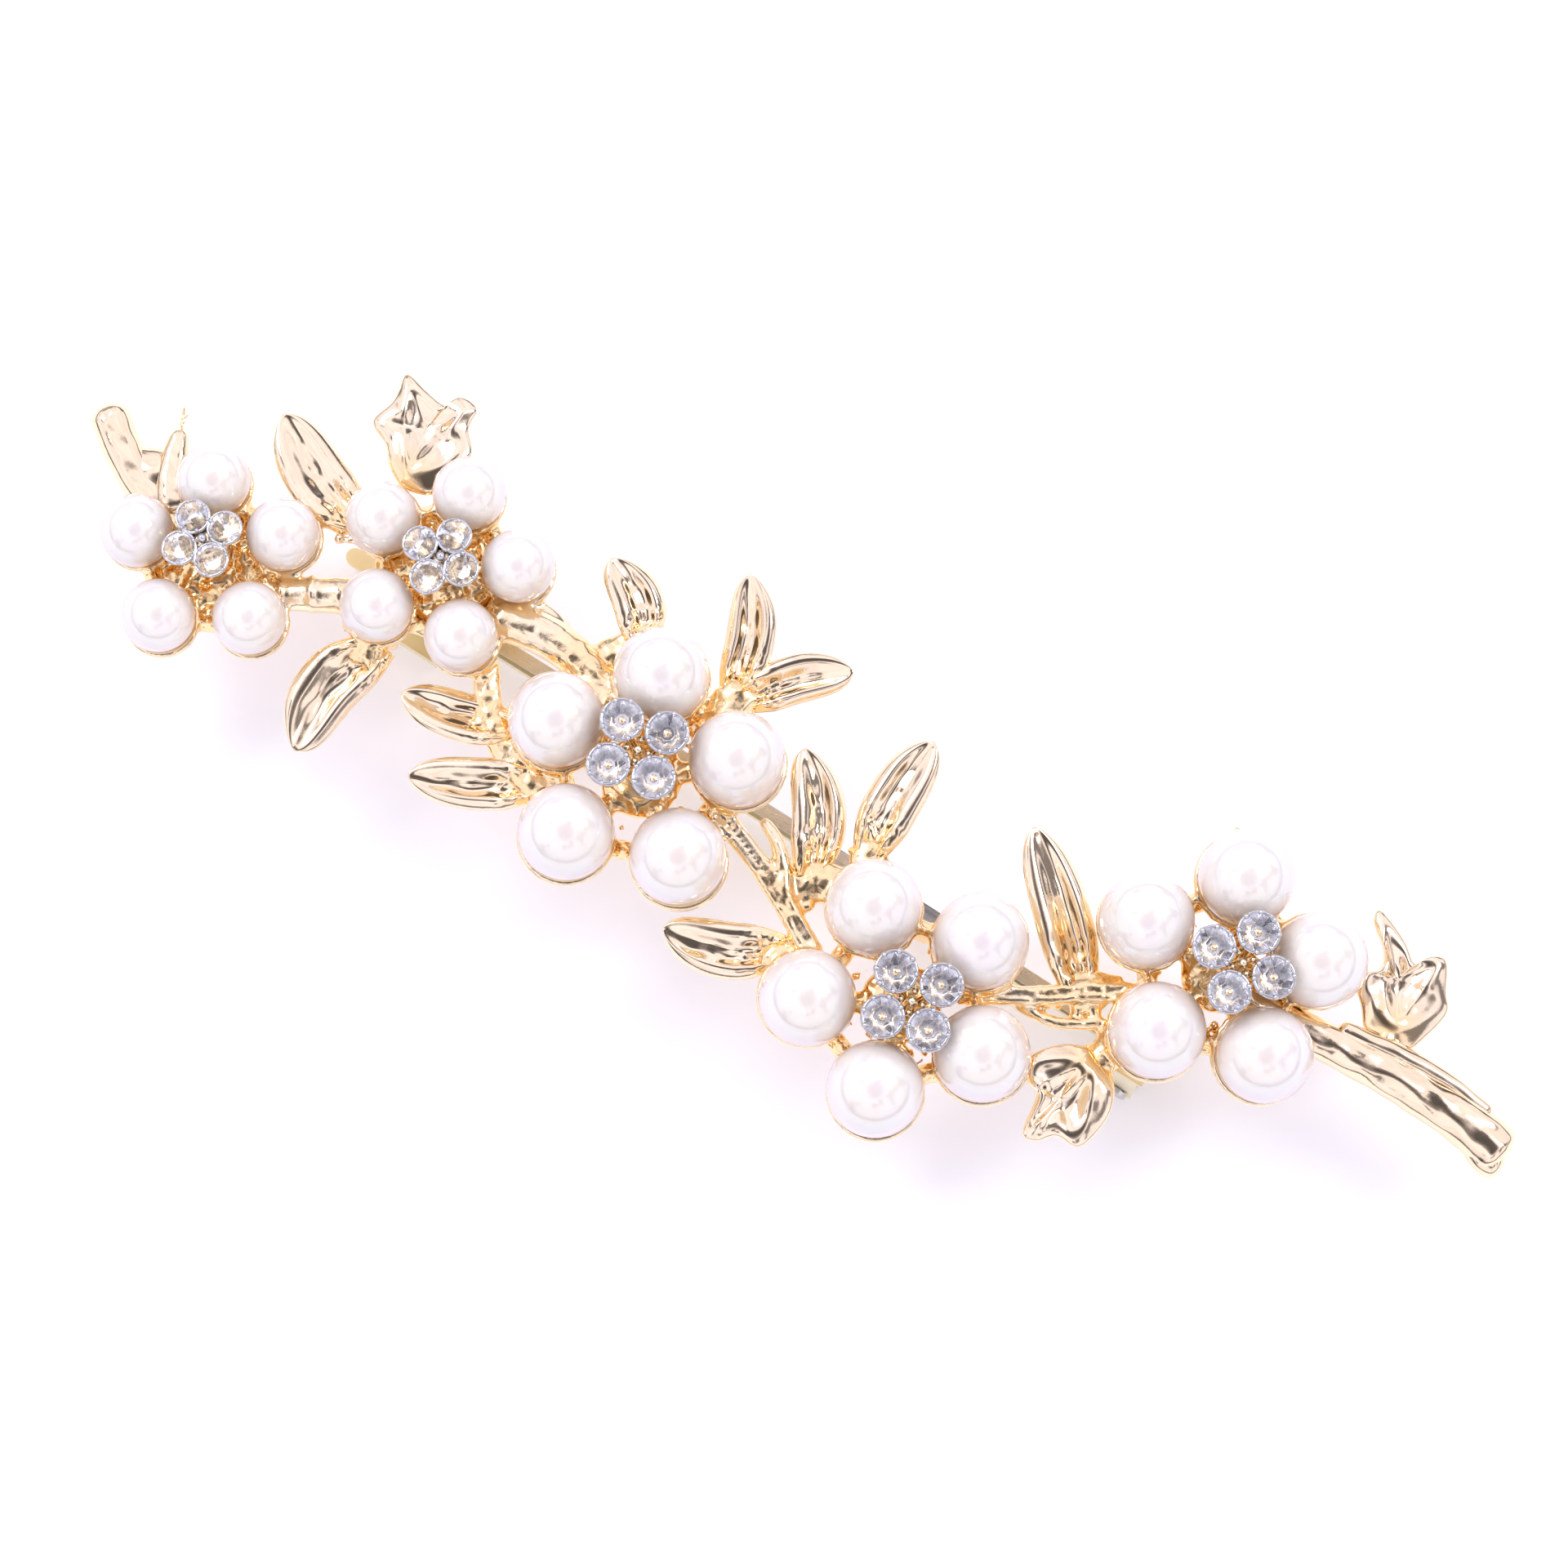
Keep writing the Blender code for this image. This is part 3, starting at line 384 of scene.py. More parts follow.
class Nodes:
    """The node tree of a material or a world, with short ways to add and link nodes."""

    def __init__(self, owner, shader="Principled BSDF"):
        owner.use_nodes = True
        self.owner = owner
        self.tree = owner.node_tree
        self.shader = self.tree.nodes[shader]

    def add(self, kind, **values):
        """A new node, with each value given to the socket of that name or else to the node's own setting."""
        node = self.tree.nodes.new(kind)
        for key, value in values.items():
            if key in node.inputs:
                node.inputs[key].default_value = value
            else:
                setattr(node, key, value)
        return node

    def link(self, source, target):
        self.tree.links.new(source, target)

    def set(self, **values):
        """Sets the shader's sockets, with _ for a space in their names."""
        for key, value in values.items():
            self.shader.inputs[key.replace("_", " ")].default_value = value

    def place(self, scale=(1, 1, 1)):
        """Object coordinates, in metres, stretched by scale."""
        coordinates = self.add("ShaderNodeTexCoord")
        mapping = self.add("ShaderNodeMapping", Scale=scale)
        self.link(coordinates.outputs["Object"], mapping.inputs["Vector"])
        return mapping.outputs["Vector"]

    def noise(self, scale, detail=3.0, vector=None, roughness=0.5):
        """Noise of that many cells to a metre, or to a unit of vector."""
        texture = self.add("ShaderNodeTexNoise", Scale=scale, Detail=detail, Roughness=roughness)
        self.link(vector or self.place(), texture.inputs["Vector"])
        return texture.outputs["Fac"]

    def ramp(self, value, *stops):
        """A colour for each value, through (position, colour) stops."""
        node = self.add("ShaderNodeValToRGB")
        elements = node.color_ramp.elements
        while len(elements) < len(stops):
            elements.new(0.5)
        for element, (position, colour) in zip(elements, stops):
            element.position = position
            element.color = (*colour, 1.0)
        self.link(value, node.inputs["Fac"])
        return node.outputs["Color"]

    def mix(self, factor, first, second, blend="MIX"):
        node = self.add("ShaderNodeMix", data_type="RGBA", blend_type=blend)
        for value, socket in ((factor, node.inputs[0]), (first, node.inputs[6]), (second, node.inputs[7])):
            if isinstance(value, (float, tuple)):
                socket.default_value = value
            else:
                self.link(value, socket)
        return node.outputs[2]

    def between(self, value, low, high, start=0.0, end=1.0):
        """A value from start to end turned into one from low to high."""
        node = self.add("ShaderNodeMapRange")
        for socket, number in zip(node.inputs[1:5], (start, end, low, high)):
            socket.default_value = number
        self.link(value, node.inputs["Value"])
        return node.outputs["Result"]

    def bump(self, height, strength, distance):
        node = self.add("ShaderNodeBump", Strength=strength, Distance=distance)
        self.link(height, node.inputs["Height"])
        self.link(node.outputs["Normal"], self.shader.inputs["Normal"])


def gold_material(name, pale, bounce_paint, grain=0.35, roughness=(0.07, 0.17)):
    """Plated gold: pale on the polished faces, with a warmer, deeper colour painted in where the mesh marks
    its recesses: a painted reflection of the gold's light bouncing between its own faces there.
    """
    m = Nodes(bpy.data.materials.new(name))
    painted_recess_bounce = m.add("ShaderNodeAttribute", attribute_name="painted_recess_bounce").outputs["Fac"]
    cloud = m.between(m.noise(900, 4), 0.0, 0.55, 0.35, 0.7)
    worn = (*(c * 0.9 for c in pale[:3]), 1.0)
    # Painted reflection: the mesh's mark mixes in the deeper colour, standing in for light that the gold
    # bounces into its own recesses.
    m.link(m.mix(painted_recess_bounce, m.mix(cloud, pale, worn), bounce_paint), m.shader.inputs["Base Color"])
    m.set(Metallic=1.0)
    m.link(m.between(m.noise(2600, 3), *roughness, 0.35, 0.7), m.shader.inputs["Roughness"])
    m.bump(m.noise(3800, 5, roughness=0.6), grain, 0.00004)
    return m.owner


def pearl_material():
    """Imitation pearl: a cream body under a nacre film, with peach painted low down as a painted reflection
    of the gold below, a faint pink and lilac cloud and tiny pits."""
    m = Nodes(bpy.data.materials.new("pearl_nacre"))
    cloud = m.noise(420, 3)
    body = m.ramp(cloud, (0.35, (0.95, 0.85, 0.78)), (0.5, (0.94, 0.86, 0.80)), (0.68, (0.93, 0.85, 0.84)))
    # Painted reflection: the mark paints the gold's peach onto the lower half of the pearl.
    painted_gold_reflection = m.add("ShaderNodeAttribute", attribute_name="painted_gold_reflection").outputs["Fac"]
    m.link(m.mix(painted_gold_reflection, body, (1.0, 0.80, 0.63, 1.0)), m.shader.inputs["Base Color"])
    m.link(m.between(m.noise(3000, 4), 0.26, 0.36), m.shader.inputs["Roughness"])
    m.set(Metallic=0.0, IOR=1.7, Coat_Weight=1.0, Coat_Roughness=0.06, Coat_IOR=2.1)
    m.set(Thin_Film_Thickness=420.0, Thin_Film_IOR=1.38)
    m.set(Subsurface_Weight=0.45, Subsurface_Radius=(1.0, 0.7, 0.55), Subsurface_Scale=0.0006)
    m.bump(m.noise(2400, 2), 0.05, 0.00003)
    return m.owner


def crystal_material():
    """Clear glass, faintly worn."""
    m = Nodes(bpy.data.materials.new("crystal_crown"))
    m.set(Base_Color=(0.99, 0.99, 1.0, 1.0), IOR=1.5, Transmission_Weight=1.0)
    m.link(m.between(m.noise(1800, 3), 0.0, 0.05, 0.45, 0.8), m.shader.inputs["Roughness"])
    return m.owner


def foil_material():
    """The silvered back of a stone. Each facet gets a random brightness, which the mesh marks: painted
    reflections, from dark to bright, standing in for the sparkle of the facets.
    """
    m = Nodes(bpy.data.materials.new("crystal_foil"))
    # Painted reflection: each facet's random mark picks a dark, middling or bright colour.
    painted_glint = m.add("ShaderNodeAttribute", attribute_name="facet").outputs["Fac"]
    dark, middling, bright = (0.26, 0.26, 0.28), (0.84, 0.84, 0.86), (0.97, 0.97, 0.98)
    colour = m.ramp(painted_glint, (0.0, dark), (0.2, middling), (0.35, bright), (1.0, (1, 1, 1)))
    m.link(colour, m.shader.inputs["Base Color"])
    m.set(Metallic=1.0)
    m.link(m.between(m.noise(5000, 2), 0.16, 0.30), m.shader.inputs["Roughness"])
    return m.owner


def brushed_material(name, colour, second, roughness):
    """Drawn or rolled metal, its fine lines along X, with faint tarnish."""
    m = Nodes(bpy.data.materials.new(name))
    drawn = (60, 2400, 2400)
    lines = m.noise(1.0, 4, m.place(drawn), roughness=0.6)
    tarnish = m.between(m.noise(260, 4), 0.0, 0.8, 0.4, 0.75)
    m.link(m.mix(tarnish, colour, second), m.shader.inputs["Base Color"])
    m.set(Metallic=1.0)
    m.link(m.between(lines, *roughness, 0.3, 0.7), m.shader.inputs["Roughness"])
    m.bump(lines, 0.2, 0.00002)
    return m.owner


def floor_material():
    """Seamless white paper, lit up a little so that it stays white in the shade."""
    m = Nodes(bpy.data.materials.new("studio_paper"))
    colour = m.ramp(m.noise(30, 3), (0.3, (0.905, 0.91, 0.93)), (0.7, (0.92, 0.925, 0.94)))
    m.link(colour, m.shader.inputs["Base Color"])
    m.set(Roughness=0.9, Specular_IOR_Level=0.1)
    m.set(Emission_Color=(0.95, 0.95, 1.0, 1.0), Emission_Strength=0.20)
    return m.owner


CASTING_GOLD = gold_material("casting_gold", (0.98, 0.80, 0.54, 1.0), (1.0, 0.71, 0.36, 1.0))
POLISHED_GOLD = gold_material(
    "polished_gold", (0.96, 0.79, 0.56, 1.0), (1.0, 0.69, 0.33, 1.0), grain=0.1, roughness=(0.03, 0.08)
)
SETTING_METAL = gold_material(
    "setting_metal", (0.67, 0.66, 0.66, 1.0), (0.90, 0.72, 0.46, 1.0), grain=0.3
)
PEARL = pearl_material()
CRYSTAL = crystal_material()
FOIL = foil_material()
BRASS = brushed_material("clip_brass", (0.93, 0.86, 0.60, 1.0), (0.82, 0.73, 0.46, 1.0), (0.28, 0.45))
SPRING_STEEL = brushed_material("spring_steel", (0.66, 0.64, 0.60, 1.0), (0.50, 0.47, 0.42, 1.0), (0.2, 0.36))


# ------------------------
# Pieces


def mesh_from(name, shapes, slots=None):
    """One mesh in millimetres from closed shapes, facing out. slots gives the material slot of each shape."""
    bm = bmesh.new()
    for number, (points, faces) in enumerate(shapes):
        verts = [bm.verts.new(p) for p in points]
        made = [bm.faces.new([verts[i] for i in face]) for face in faces]
        for face in made:
            face.material_index = slots[number] if slots else 0
            face.smooth = True
        bmesh.ops.recalc_face_normals(bm, faces=made)
    bmesh.ops.remove_doubles(bm, verts=bm.verts, dist=1e-5)
    mesh = bpy.data.meshes.new(name)
    bm.to_mesh(mesh)
    bm.free()
    return mesh


def points_of(mesh):
    """A mesh's points, one to a row."""
    points = np.empty(len(mesh.vertices) * 3)
    mesh.vertices.foreach_get("co", points)
    return points.reshape(-1, 3)


def mark(mesh, name, values, domain="POINT"):
    """Gives each point, or each face, a value that a material reads."""
    attribute = mesh.attributes.new(name, "FLOAT", domain)
    attribute.data.foreach_set("value", np.asarray(values, np.float32))


def piece(name, mesh, materials, nodes=(), body="branch"):
    """Puts a finished mesh into the scene in metres, on its body, for the CAD nodes that it stands for."""
    points = in_row_frame(points_of(mesh))
    mesh.vertices.foreach_set("co", points.ravel())
    mesh.update()
    for material in materials:
        mesh.materials.append(material)
    obj = bpy.data.objects.new(name, mesh)
    bpy.context.scene.collection.objects.link(obj)
    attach(obj, body)
    if nodes:
        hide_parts(*nodes)


def pearl_centres():
    """Every pearl's middle and radius, in the clip's frame."""
    found = []
    for flower in FLOWERS:
        radius = flower["pearl"] / 2
        matrix = flower_frame(flower)
        for x, y in pearl_places(flower):
            found.append((matrix @ Vector((x, y, PEARL_FOOT + radius)), radius))
    return found


# ------------------------
# Branch casting


def seat(matrix, radius):
    """A flared seat under a pearl, solid up to its rolled rim. The pearl's clearance hollows it out later."""
    profile = [
        (0, 0.02), (0.70, 0.0), (0.78, 0.10), (0.86, 0.26), (0.95, 0.44), (1.01, 0.56), (1.04, 0.66),
        (1.03, 0.74), (0.98, 0.77), (0.9, 0.74), (0, 0.72),
    ]
    return turned([(r * radius, h * radius) for r, h in profile], 32, matrix)


def granules(count, place, radius=(0.16, 0.34)):
    """Cast beads, as small squashed balls. place() turns a drawn height into a bead's middle."""
    return [
        ball(Matrix.Translation(place(DICE.uniform(*BEAD_HEIGHTS))), DICE.uniform(*radius), 8, 0.9)
        for _ in range(count)
    ]


def flower_shapes(flower):
    """The hub, seats, spokes, webs, claws and granules of one flower."""
    matrix = flower_frame(flower)
    ring, radius = flower["ring"], flower["pearl"] / 2
    small = flower["pearl"] == SMALL_PEARL
    hub = [(0, 0.1), (ring * 0.42, 0.12), (ring * 0.44, 0.7), (ring * 0.3, 1.1), (0, 1.2)]
    shapes = [turned(hub, 24, matrix)]
    if small:
        plate = [(0, 0.1), (ring * 0.72, 0.12), (ring * 0.74, 0.6), (0, 0.8)]
        shapes.append(turned(plate, 24, matrix))

    def placed(point, height):
        return matrix @ (point + Vector((0, 0, height)))

    def near_centre(height):
        angle, reach = DICE.uniform(0, 2 * math.pi), ring * DICE.uniform(0.25, 0.85)
        x, y = reach * math.cos(angle), reach * math.sin(angle)
        return matrix @ Vector((x, y, height * DICE.uniform(0.7, 1.1)))

    wobble = 0.04 * radius
    places = pearl_places(flower)
    for k, (x, y) in enumerate(places):
        seat_x, seat_y = x + DICE.uniform(-wobble, wobble), y + DICE.uniform(-wobble, wobble)
        shapes.append(seat(at_point(matrix, seat_x, seat_y), radius))
        here, after = Vector((x, y, 0)), Vector((*places[(k + 1) % PEARLS_IN_RING], 0))
        out = here.normalized()
        spoke = [placed(out * 0.5, 0.5), placed(out * ring * 0.5, 0.55), placed(out * ring * 0.85, 0.5)]
        shapes.append(bar(spoke, (0.5, 0.42, 0.5), 1.5, sides=12, steps=8))
        between = (here + after) / 2
        half_web = (after - here).normalized() * radius * 0.9
        for reach, lift, thick in ((0.96, 0.5, 0.46), (1.05, 0.75, 0.28)):
            line = [between * reach - half_web, between * reach, between * reach + half_web]
            shapes.append(bar([placed(p, lift) for p in line], (thick,) * 3, 1.1, sides=10, steps=8))
        top = radius * DICE.uniform(0.62, 0.85)
        claw = between * DICE.uniform(0.93, 1.02)
        shapes.append(rod(placed(claw, 0.3), placed(claw, top), 0.42, 0.2))
    return shapes + granules(BEADS_ON_SMALL_FLOWER if small else BEADS_ON_LARGE_FLOWER, near_centre)


def beside_stalk(line, spread):
    """The place() of beads along a leaf's stalk."""
    spots = curve_through(line, 10)

    def place(height):
        spot = spots[int(DICE.uniform(0.1, 1.0) * 10)]
        aside = DICE.uniform(-spread, spread), DICE.uniform(-spread, spread)
        return spot + Vector((*aside, height * 0.5 - 0.5))

    return place


def on_links(height):
    """The place() of beads on the two links between flowers 1 and 2."""
    t = DICE.random()
    (x, y), (run_x, run_y) = LOWER_LINK_BEADS if DICE.random() < LOWER_LINK_SHARE else UPPER_LINK_BEADS
    aside_x, aside_y = DICE.uniform(-0.5, 0.5), DICE.uniform(-0.8, 0.8)
    return on_casting(x + run_x * t + aside_x, y + run_y * t + aside_y, height + 0.1)


def stem_shapes():
    """The stems with their beads, the wraps, the solder bosses and the ball on a wire."""
    shapes = []
    for name, (route, radii, height, flat, groove) in STEMS.items():
        line = [on_casting(x, y, height) for x, y in route]
        shapes.append(bar(line, radii, flat, groove, sides=20, steps=30))
        if "stalk" in name:
            shapes += granules(BEADS_ON_STALK, beside_stalk(line, radii[1] * 2.2), (0.2, 0.42))
    facing = Vector(WRAP_AXIS).to_track_quat("Z", "Y").to_matrix().to_4x4()
    for x, y, radius in WRAPS:
        wrap = [(0, -0.24), (0.8 * radius, -0.22), (radius, 0), (0.8 * radius, 0.22), (0, 0.24)]
        shapes.append(turned(wrap, 20, Matrix.Translation(on_casting(x, y, 1.0)) @ facing))
    shapes += granules(BEADS_ON_LINKS, on_links, (0.2, 0.4))
    for x, y, height in BOSSES:
        boss = [(0, 0), (BOSS_RADIUS - 0.05, 0), (BOSS_RADIUS, 0.05), (BOSS_RADIUS, height), (0, height)]
        shapes.append(turned(boss, 32, Matrix.Translation((x, y, BOSS_FOOT + VOXEL * 0.3))))
    wire_tip = on_casting(*WIRE_TIP)
    shapes.append(rod(on_casting(*WIRE_FOOT), wire_tip, 0.3, 0.14))
    shapes.append(ball(Matrix.Translation(wire_tip), 0.24, 12))
    return shapes


def remeshed(mesh, voxel):
    """A single skin round everything in the mesh, as one even grid of that size."""
    obj = bpy.data.objects.new("remesh_source", mesh)
    bpy.context.scene.collection.objects.link(obj)
    modifier = obj.modifiers.new("skin", "REMESH")
    modifier.mode = "VOXEL"
    modifier.voxel_size = voxel
    modifier.use_smooth_shade = True
    bpy.context.view_layer.update()
    graph = bpy.context.evaluated_depsgraph_get()
    result = bpy.data.meshes.new_from_object(obj.evaluated_get(graph))
    bpy.data.objects.remove(obj)
    return result


def smoothed(points, edges, rounds, strength=0.5):
    """Moves each point towards the mean of its neighbours."""
    count = np.bincount(edges.ravel(), minlength=len(points))[:, None]
    for _ in range(rounds):
        total = np.zeros_like(points)
        np.add.at(total, edges[:, 0], points[edges[:, 1]])
        np.add.at(total, edges[:, 1], points[edges[:, 0]])
        points = points + strength * (total / count - points)
    return points


def edges_of(mesh):
    """The two points of each edge, one edge to a row."""
    edges = np.empty(len(mesh.edges) * 2, np.int64)
    mesh.edges.foreach_get("vertices", edges)
    return edges.reshape(-1, 2)


def clear_of_pearls(points):
    """Pushes points that lie inside a pearl's clearance out onto it."""
    for centre, radius in pearl_centres():
        away = points - np.array(centre)
        distance = np.linalg.norm(away, axis=1)
        inside = distance < radius + SEAT_GAP
        points[inside] = np.array(centre) + away[inside] / distance[inside, None] * (radius + SEAT_GAP)
    return points


def painted_bounce_of(points):
    """How much of the painted bounce colour each point gets, from 0 on the casting's faces to 1 between the
    pearls and at leaf bases, less the higher it lies over the back: a painted reflection of the gold's light
    in its recesses.
    """
    bounce_paint = np.zeros(len(points))
    for flower in FLOWERS:
        matrix = flower_frame(flower)
        centre = np.array(matrix.translation)
        reach = np.linalg.norm((points - centre)[:, :2], axis=1) / flower["ring"]
        bounce_paint = np.maximum(bounce_paint, np.clip(2.9 - 2.4 * reach, 0, 1))
    for name, (route, _, _, _, _) in STEMS.items():
        if "stalk" not in name:
            continue
        for x, y in route:
            spot = np.array(on_casting(x, y, 0.9))
            near = np.linalg.norm(points - spot, axis=1)
            bounce_paint = np.maximum(bounce_paint, 0.85 * np.clip(1.9 - near / 1.5, 0, 1))
    return bounce_paint * np.clip(1.25 - 0.25 * over_back(points), 0.3, 1)


def cast_grain(points, bounce_paint):
    """How far each point moves along its normal: grain, mostly in the recesses, and bark on one stem."""
    free = np.clip((over_back(points) - 0.15) / 0.4, 0, 1)
    push = np.zeros(len(points))
    bark_from, bark_to, bark_height = BARK
    for i, point in enumerate(points):
        if free[i] == 0:
            continue
        spot = Vector(point)
        fine = noise.noise(spot * 1.9) * 0.5 + noise.noise(spot * 4.1 + Vector((7, 1, 3))) * 0.35
        # The grain is coarser where the painted bounce mark is high, since that mark follows the recesses.
        push[i] = (0.015 + 0.13 * bounce_paint[i]) * fine
        if bark_from < point[0] < bark_to and point[2] > back_z(point[0]) + bark_height:
            push[i] -= 0.07 * max(0.0, noise.noise(Vector((spot.x * 1.6, spot.y * 3.4, 2.0))))
    return push * free


def build_casting_core():
    """The cast branch without its polished leaves and fingers, as one skin."""
    shapes = stem_shapes()
    for flower in FLOWERS:
        shapes += flower_shapes(flower)
    core = remeshed(mesh_from("casting_source", shapes), VOXEL)
    edges = edges_of(core)
    points = smoothed(points_of(core), edges, 5)
    bounce_paint = painted_bounce_of(points)
    normals = np.empty(len(core.vertices) * 3)
    core.vertices.foreach_get("normal", normals)
    points = points + normals.reshape(-1, 3) * cast_grain(points, bounce_paint)[:, None]
    points = smoothed(clear_of_pearls(points), edges, 1, 0.35)
    core.vertices.foreach_set("co", clear_of_pearls(points).ravel())
    # Painted reflection: the mark carries the painted bounce colour between the pearls and at the leaf bases.
    mark(core, "painted_recess_bounce", bounce_paint)
    piece("casting_branch", core, [CASTING_GOLD], ["branch_casting"])


# ------------------------
# Leaves


def bell(value, width):
    """1 at a value of 0, falling away smoothly over width."""
    return math.exp(-((value / width) ** 2))


def smooth_step(value):
    """From 0 to 1, level at both ends."""
    value = min(1.0, max(0.0, value))
    return value * value * (3 - 2 * value)


def leaf_surface(s, t, half, seed):
    """Height of a pointed leaf's upper face: a broad polished rim round a dish with a midrib and side veins.
    s runs from base to tip and t across, from -1 to 1."""
    across = abs(t)
    valley = 0.12 if seed % 2 else -0.12
    inner = smooth_step((abs(t - valley * (1 - across)) - 0.10) / 0.50)
    open_part = math.sin(math.pi * min(1.0, 0.20 + s * 0.82)) ** 0.6
    dish = -0.48 * (1 - inner) * open_part
    rolled_rim = 0.34 * max(0.0, (across - 0.60) / 0.40) ** 2.2
    midrib = 0.12 * bell(t, 0.08) * (1 - s) * open_part
    veins = 0.14 * noise.noise(Vector((s * 6 + seed * 3.1, t * 1.9, seed))) * (1 - inner) * open_part
    swell = 0.05 * noise.noise(Vector((s * 3 + seed * 1.7, t * 1.2, seed))) * half
    near_base = max(0.0, 0.42 - s) / 0.42 * min(1.0, 2.2 - 2 * across)
    grain = 0.34 * near_base * noise.noise(Vector((s * 13 + seed, t * 3.2, 3.0)))
    return dish - rolled_rim + midrib + veins + swell + grain


def leaf_width(s):
    """Share of the half width: a narrow foot, the widest part near a third, and a rounded point."""
    foot = 0.55 + 0.45 * math.sin(math.pi / 2 * min(1.0, s / 0.36))
    point = 1 - max(0.0, (s - 0.34) / 0.66) ** 3.4
    return 1.05 * foot * max(point, 0.0) ** 0.62


def build_leaf(name, base, tip, half, bend, rise, seed):
    """A pointed leaf: loops from base to tip, each across the upper face and back along the underside."""
    rows, columns, under = 56, 34, 10
    base, tip = Vector(base), Vector(tip)
    along = tip - base
    left = Vector((-along.y, along.x)).normalized()
    lean = LEAF_LEANS[seed % len(LEAF_LEANS)]
    loops, bounce_paint = [], []
    for i in range(rows + 1):
        s = 1 - (1 - i / rows) ** 1.15
        width = max(half * leaf_width(min(s, 0.995)), 0.06)
        middle = base + along * s + left * bend * math.sin(math.pi * s)
        lift = LEAF_LIFT + LEAF_THICKNESS + rise * s + 0.12 * math.sin(math.pi * s)
        shrink = width / half
        near_base = max(0.0, 1.0 - s / 0.34)
        loop = []
        for j in range(columns + 1):
            t = -1 + 2 * j / columns
            spot = middle + left * (t * width)
            height = lift + leaf_surface(s, t, half, seed) * (0.25 + 0.75 * shrink) + lean * t * shrink
            loop.append(on_casting(spot.x, spot.y, height))
            # Painted reflection: the mark paints more of the bounce colour near the foot and along the
            # middle, and less on the underside.
            bounce_paint.append(near_base * 0.9 + 0.12 * (1 - abs(t)))
        for j in range(1, under):
            t = 1 - 2 * j / under
            spot = middle + left * (t * width * 0.97)
            height = lift - 0.1 - (0.3 + 0.6 * (1 - t * t)) * (0.3 + 0.7 * shrink) + lean * t * shrink
            loop.append(on_casting(spot.x, spot.y, height))
            bounce_paint.append(near_base * 0.6)
        loops.append(loop)
    mesh = mesh_from(name, [loft(loops)])
    mark(mesh, "painted_recess_bounce", bounce_paint + [0.9, 0.0])
    mesh.vertices.foreach_set("co", clear_of_pearls(points_of(mesh)).ravel())
    piece(name, mesh, [POLISHED_GOLD])


def distance_to_segment(point, start, end):
    """How far a point lies from a segment, and its nearest place along it, from 0 to 1."""
    along = end - start
    t = max(0.0, min(1.0, (point - start).dot(along) / along.length_squared))
    return (point - start - along * t).length, t


def ivy_surface(spot, share, foot, tips, seed):
    """Height of a lobed leaf's upper face: a dish with a rolled rim, veins from the foot and bumps. share
    runs from 0 in the middle to 1 on the outline."""
    ridge, vein = 0.0, 0.0
    for tip in tips:
        away, t = distance_to_segment(spot, foot, tip)
        ridge = max(ridge, bell(away, 0.26 * (1.15 - 0.6 * t)))
        vein = max(vein, bell(away, 0.9))
    dish = -0.5 * (1 - smooth_step((share - 0.08) / 0.62))
    rim = -0.32 * (max(0.0, share - 0.70) / 0.30) ** 2.2
    bumps = 0.10 * noise.noise(spot * 1.1 + Vector((seed, 0, 0))) + 0.03 * noise.noise(spot * 2.9)
    inside = min(1.0, max(0.0, 0.88 - share) * 3)
    return dish + rim + (0.24 * ridge + 0.10 * vein) * inside + bumps * min(1.0, 2 * (1 - share))


def build_ivy(name, outline, foot, tips, seed):
    """A lobed leaf: loops from the middle of the upper face out to the outline, and back under the leaf."""
    rings, under, steps = 26, 7, 150
    corners = [Vector((*p, 0)) for p in outline]
    middle = sum(corners, Vector()) / len(corners)
    around = curve_through(corners + [corners[0]], steps)[:-1]
    foot, tips = Vector((*foot, 0)), [Vector((*p, 0)) for p in tips]
    top = LEAF_LIFT + LEAF_THICKNESS + 0.1
    loops, bounce_paint = [], []
    for i in range(1, rings + 1):
        share = (i / rings) ** 0.85
        loop = []
        for edge in around:
            spot = middle + (edge - middle) * share
            loop.append(on_casting(spot.x, spot.y, top + ivy_surface(spot, share, foot, tips, seed)))
            # Painted reflection: the mark paints more of the bounce colour the nearer a point lies to the
            # foot.
            bounce_paint.append(max(0.0, 1 - (spot - foot).length / 2.4) * 0.9)
        loops.append(loop)
    for i in range(under):
        share = 0.985 * (1 - i / under)
        loop = []
        for edge in around:
            spot = middle + (edge - middle) * share
            loop.append(on_casting(spot.x, spot.y, LEAF_LIFT + 0.35 * share**6 + 0.06))
            bounce_paint.append(0.0)
        loops.append(loop)
    mesh = mesh_from(name, [loft(loops)])
    mark(mesh, "painted_recess_bounce", bounce_paint + [0.5, 0.0])
    points = clear_of_pearls(smoothed(points_of(mesh), edges_of(mesh), IVY_SMOOTHING))
    mesh.vertices.foreach_set("co", points.ravel())
    piece(name, mesh, [POLISHED_GOLD])


def build_fingers():
    """The bud, the spur with the web beside it, and the tail with its twig and lip, all faintly rippled."""
    for seed, (name, (route, radii, (first, last), flat, groove)) in enumerate(FINGERS.items()):
        count = len(route) - 1
        line = [on_casting(x, y, first + (last - first) * k / count) for k, (x, y) in enumerate(route)]
        mesh = mesh_from(name, [bar(line, radii, flat, groove, sides=40, steps=64)])
        points = points_of(mesh)
        ripple = TAIL_RIPPLE if name == "tail" else OTHER_RIPPLE
        for point in points:
            point[2] += ripple * noise.noise(Vector((point[0] * 0.8, point[1] * 1.8, seed)))
            point[1] += 0.05 * noise.noise(Vector((point[0] * 0.8, seed, point[2])))
        mesh.vertices.foreach_set("co", clear_of_pearls(points).ravel())
        # An even share of the painted bounce colour all over.
        mark(mesh, "painted_recess_bounce", np.full(len(mesh.vertices), 0.12))
        piece("branch_" + name, mesh, [POLISHED_GOLD])


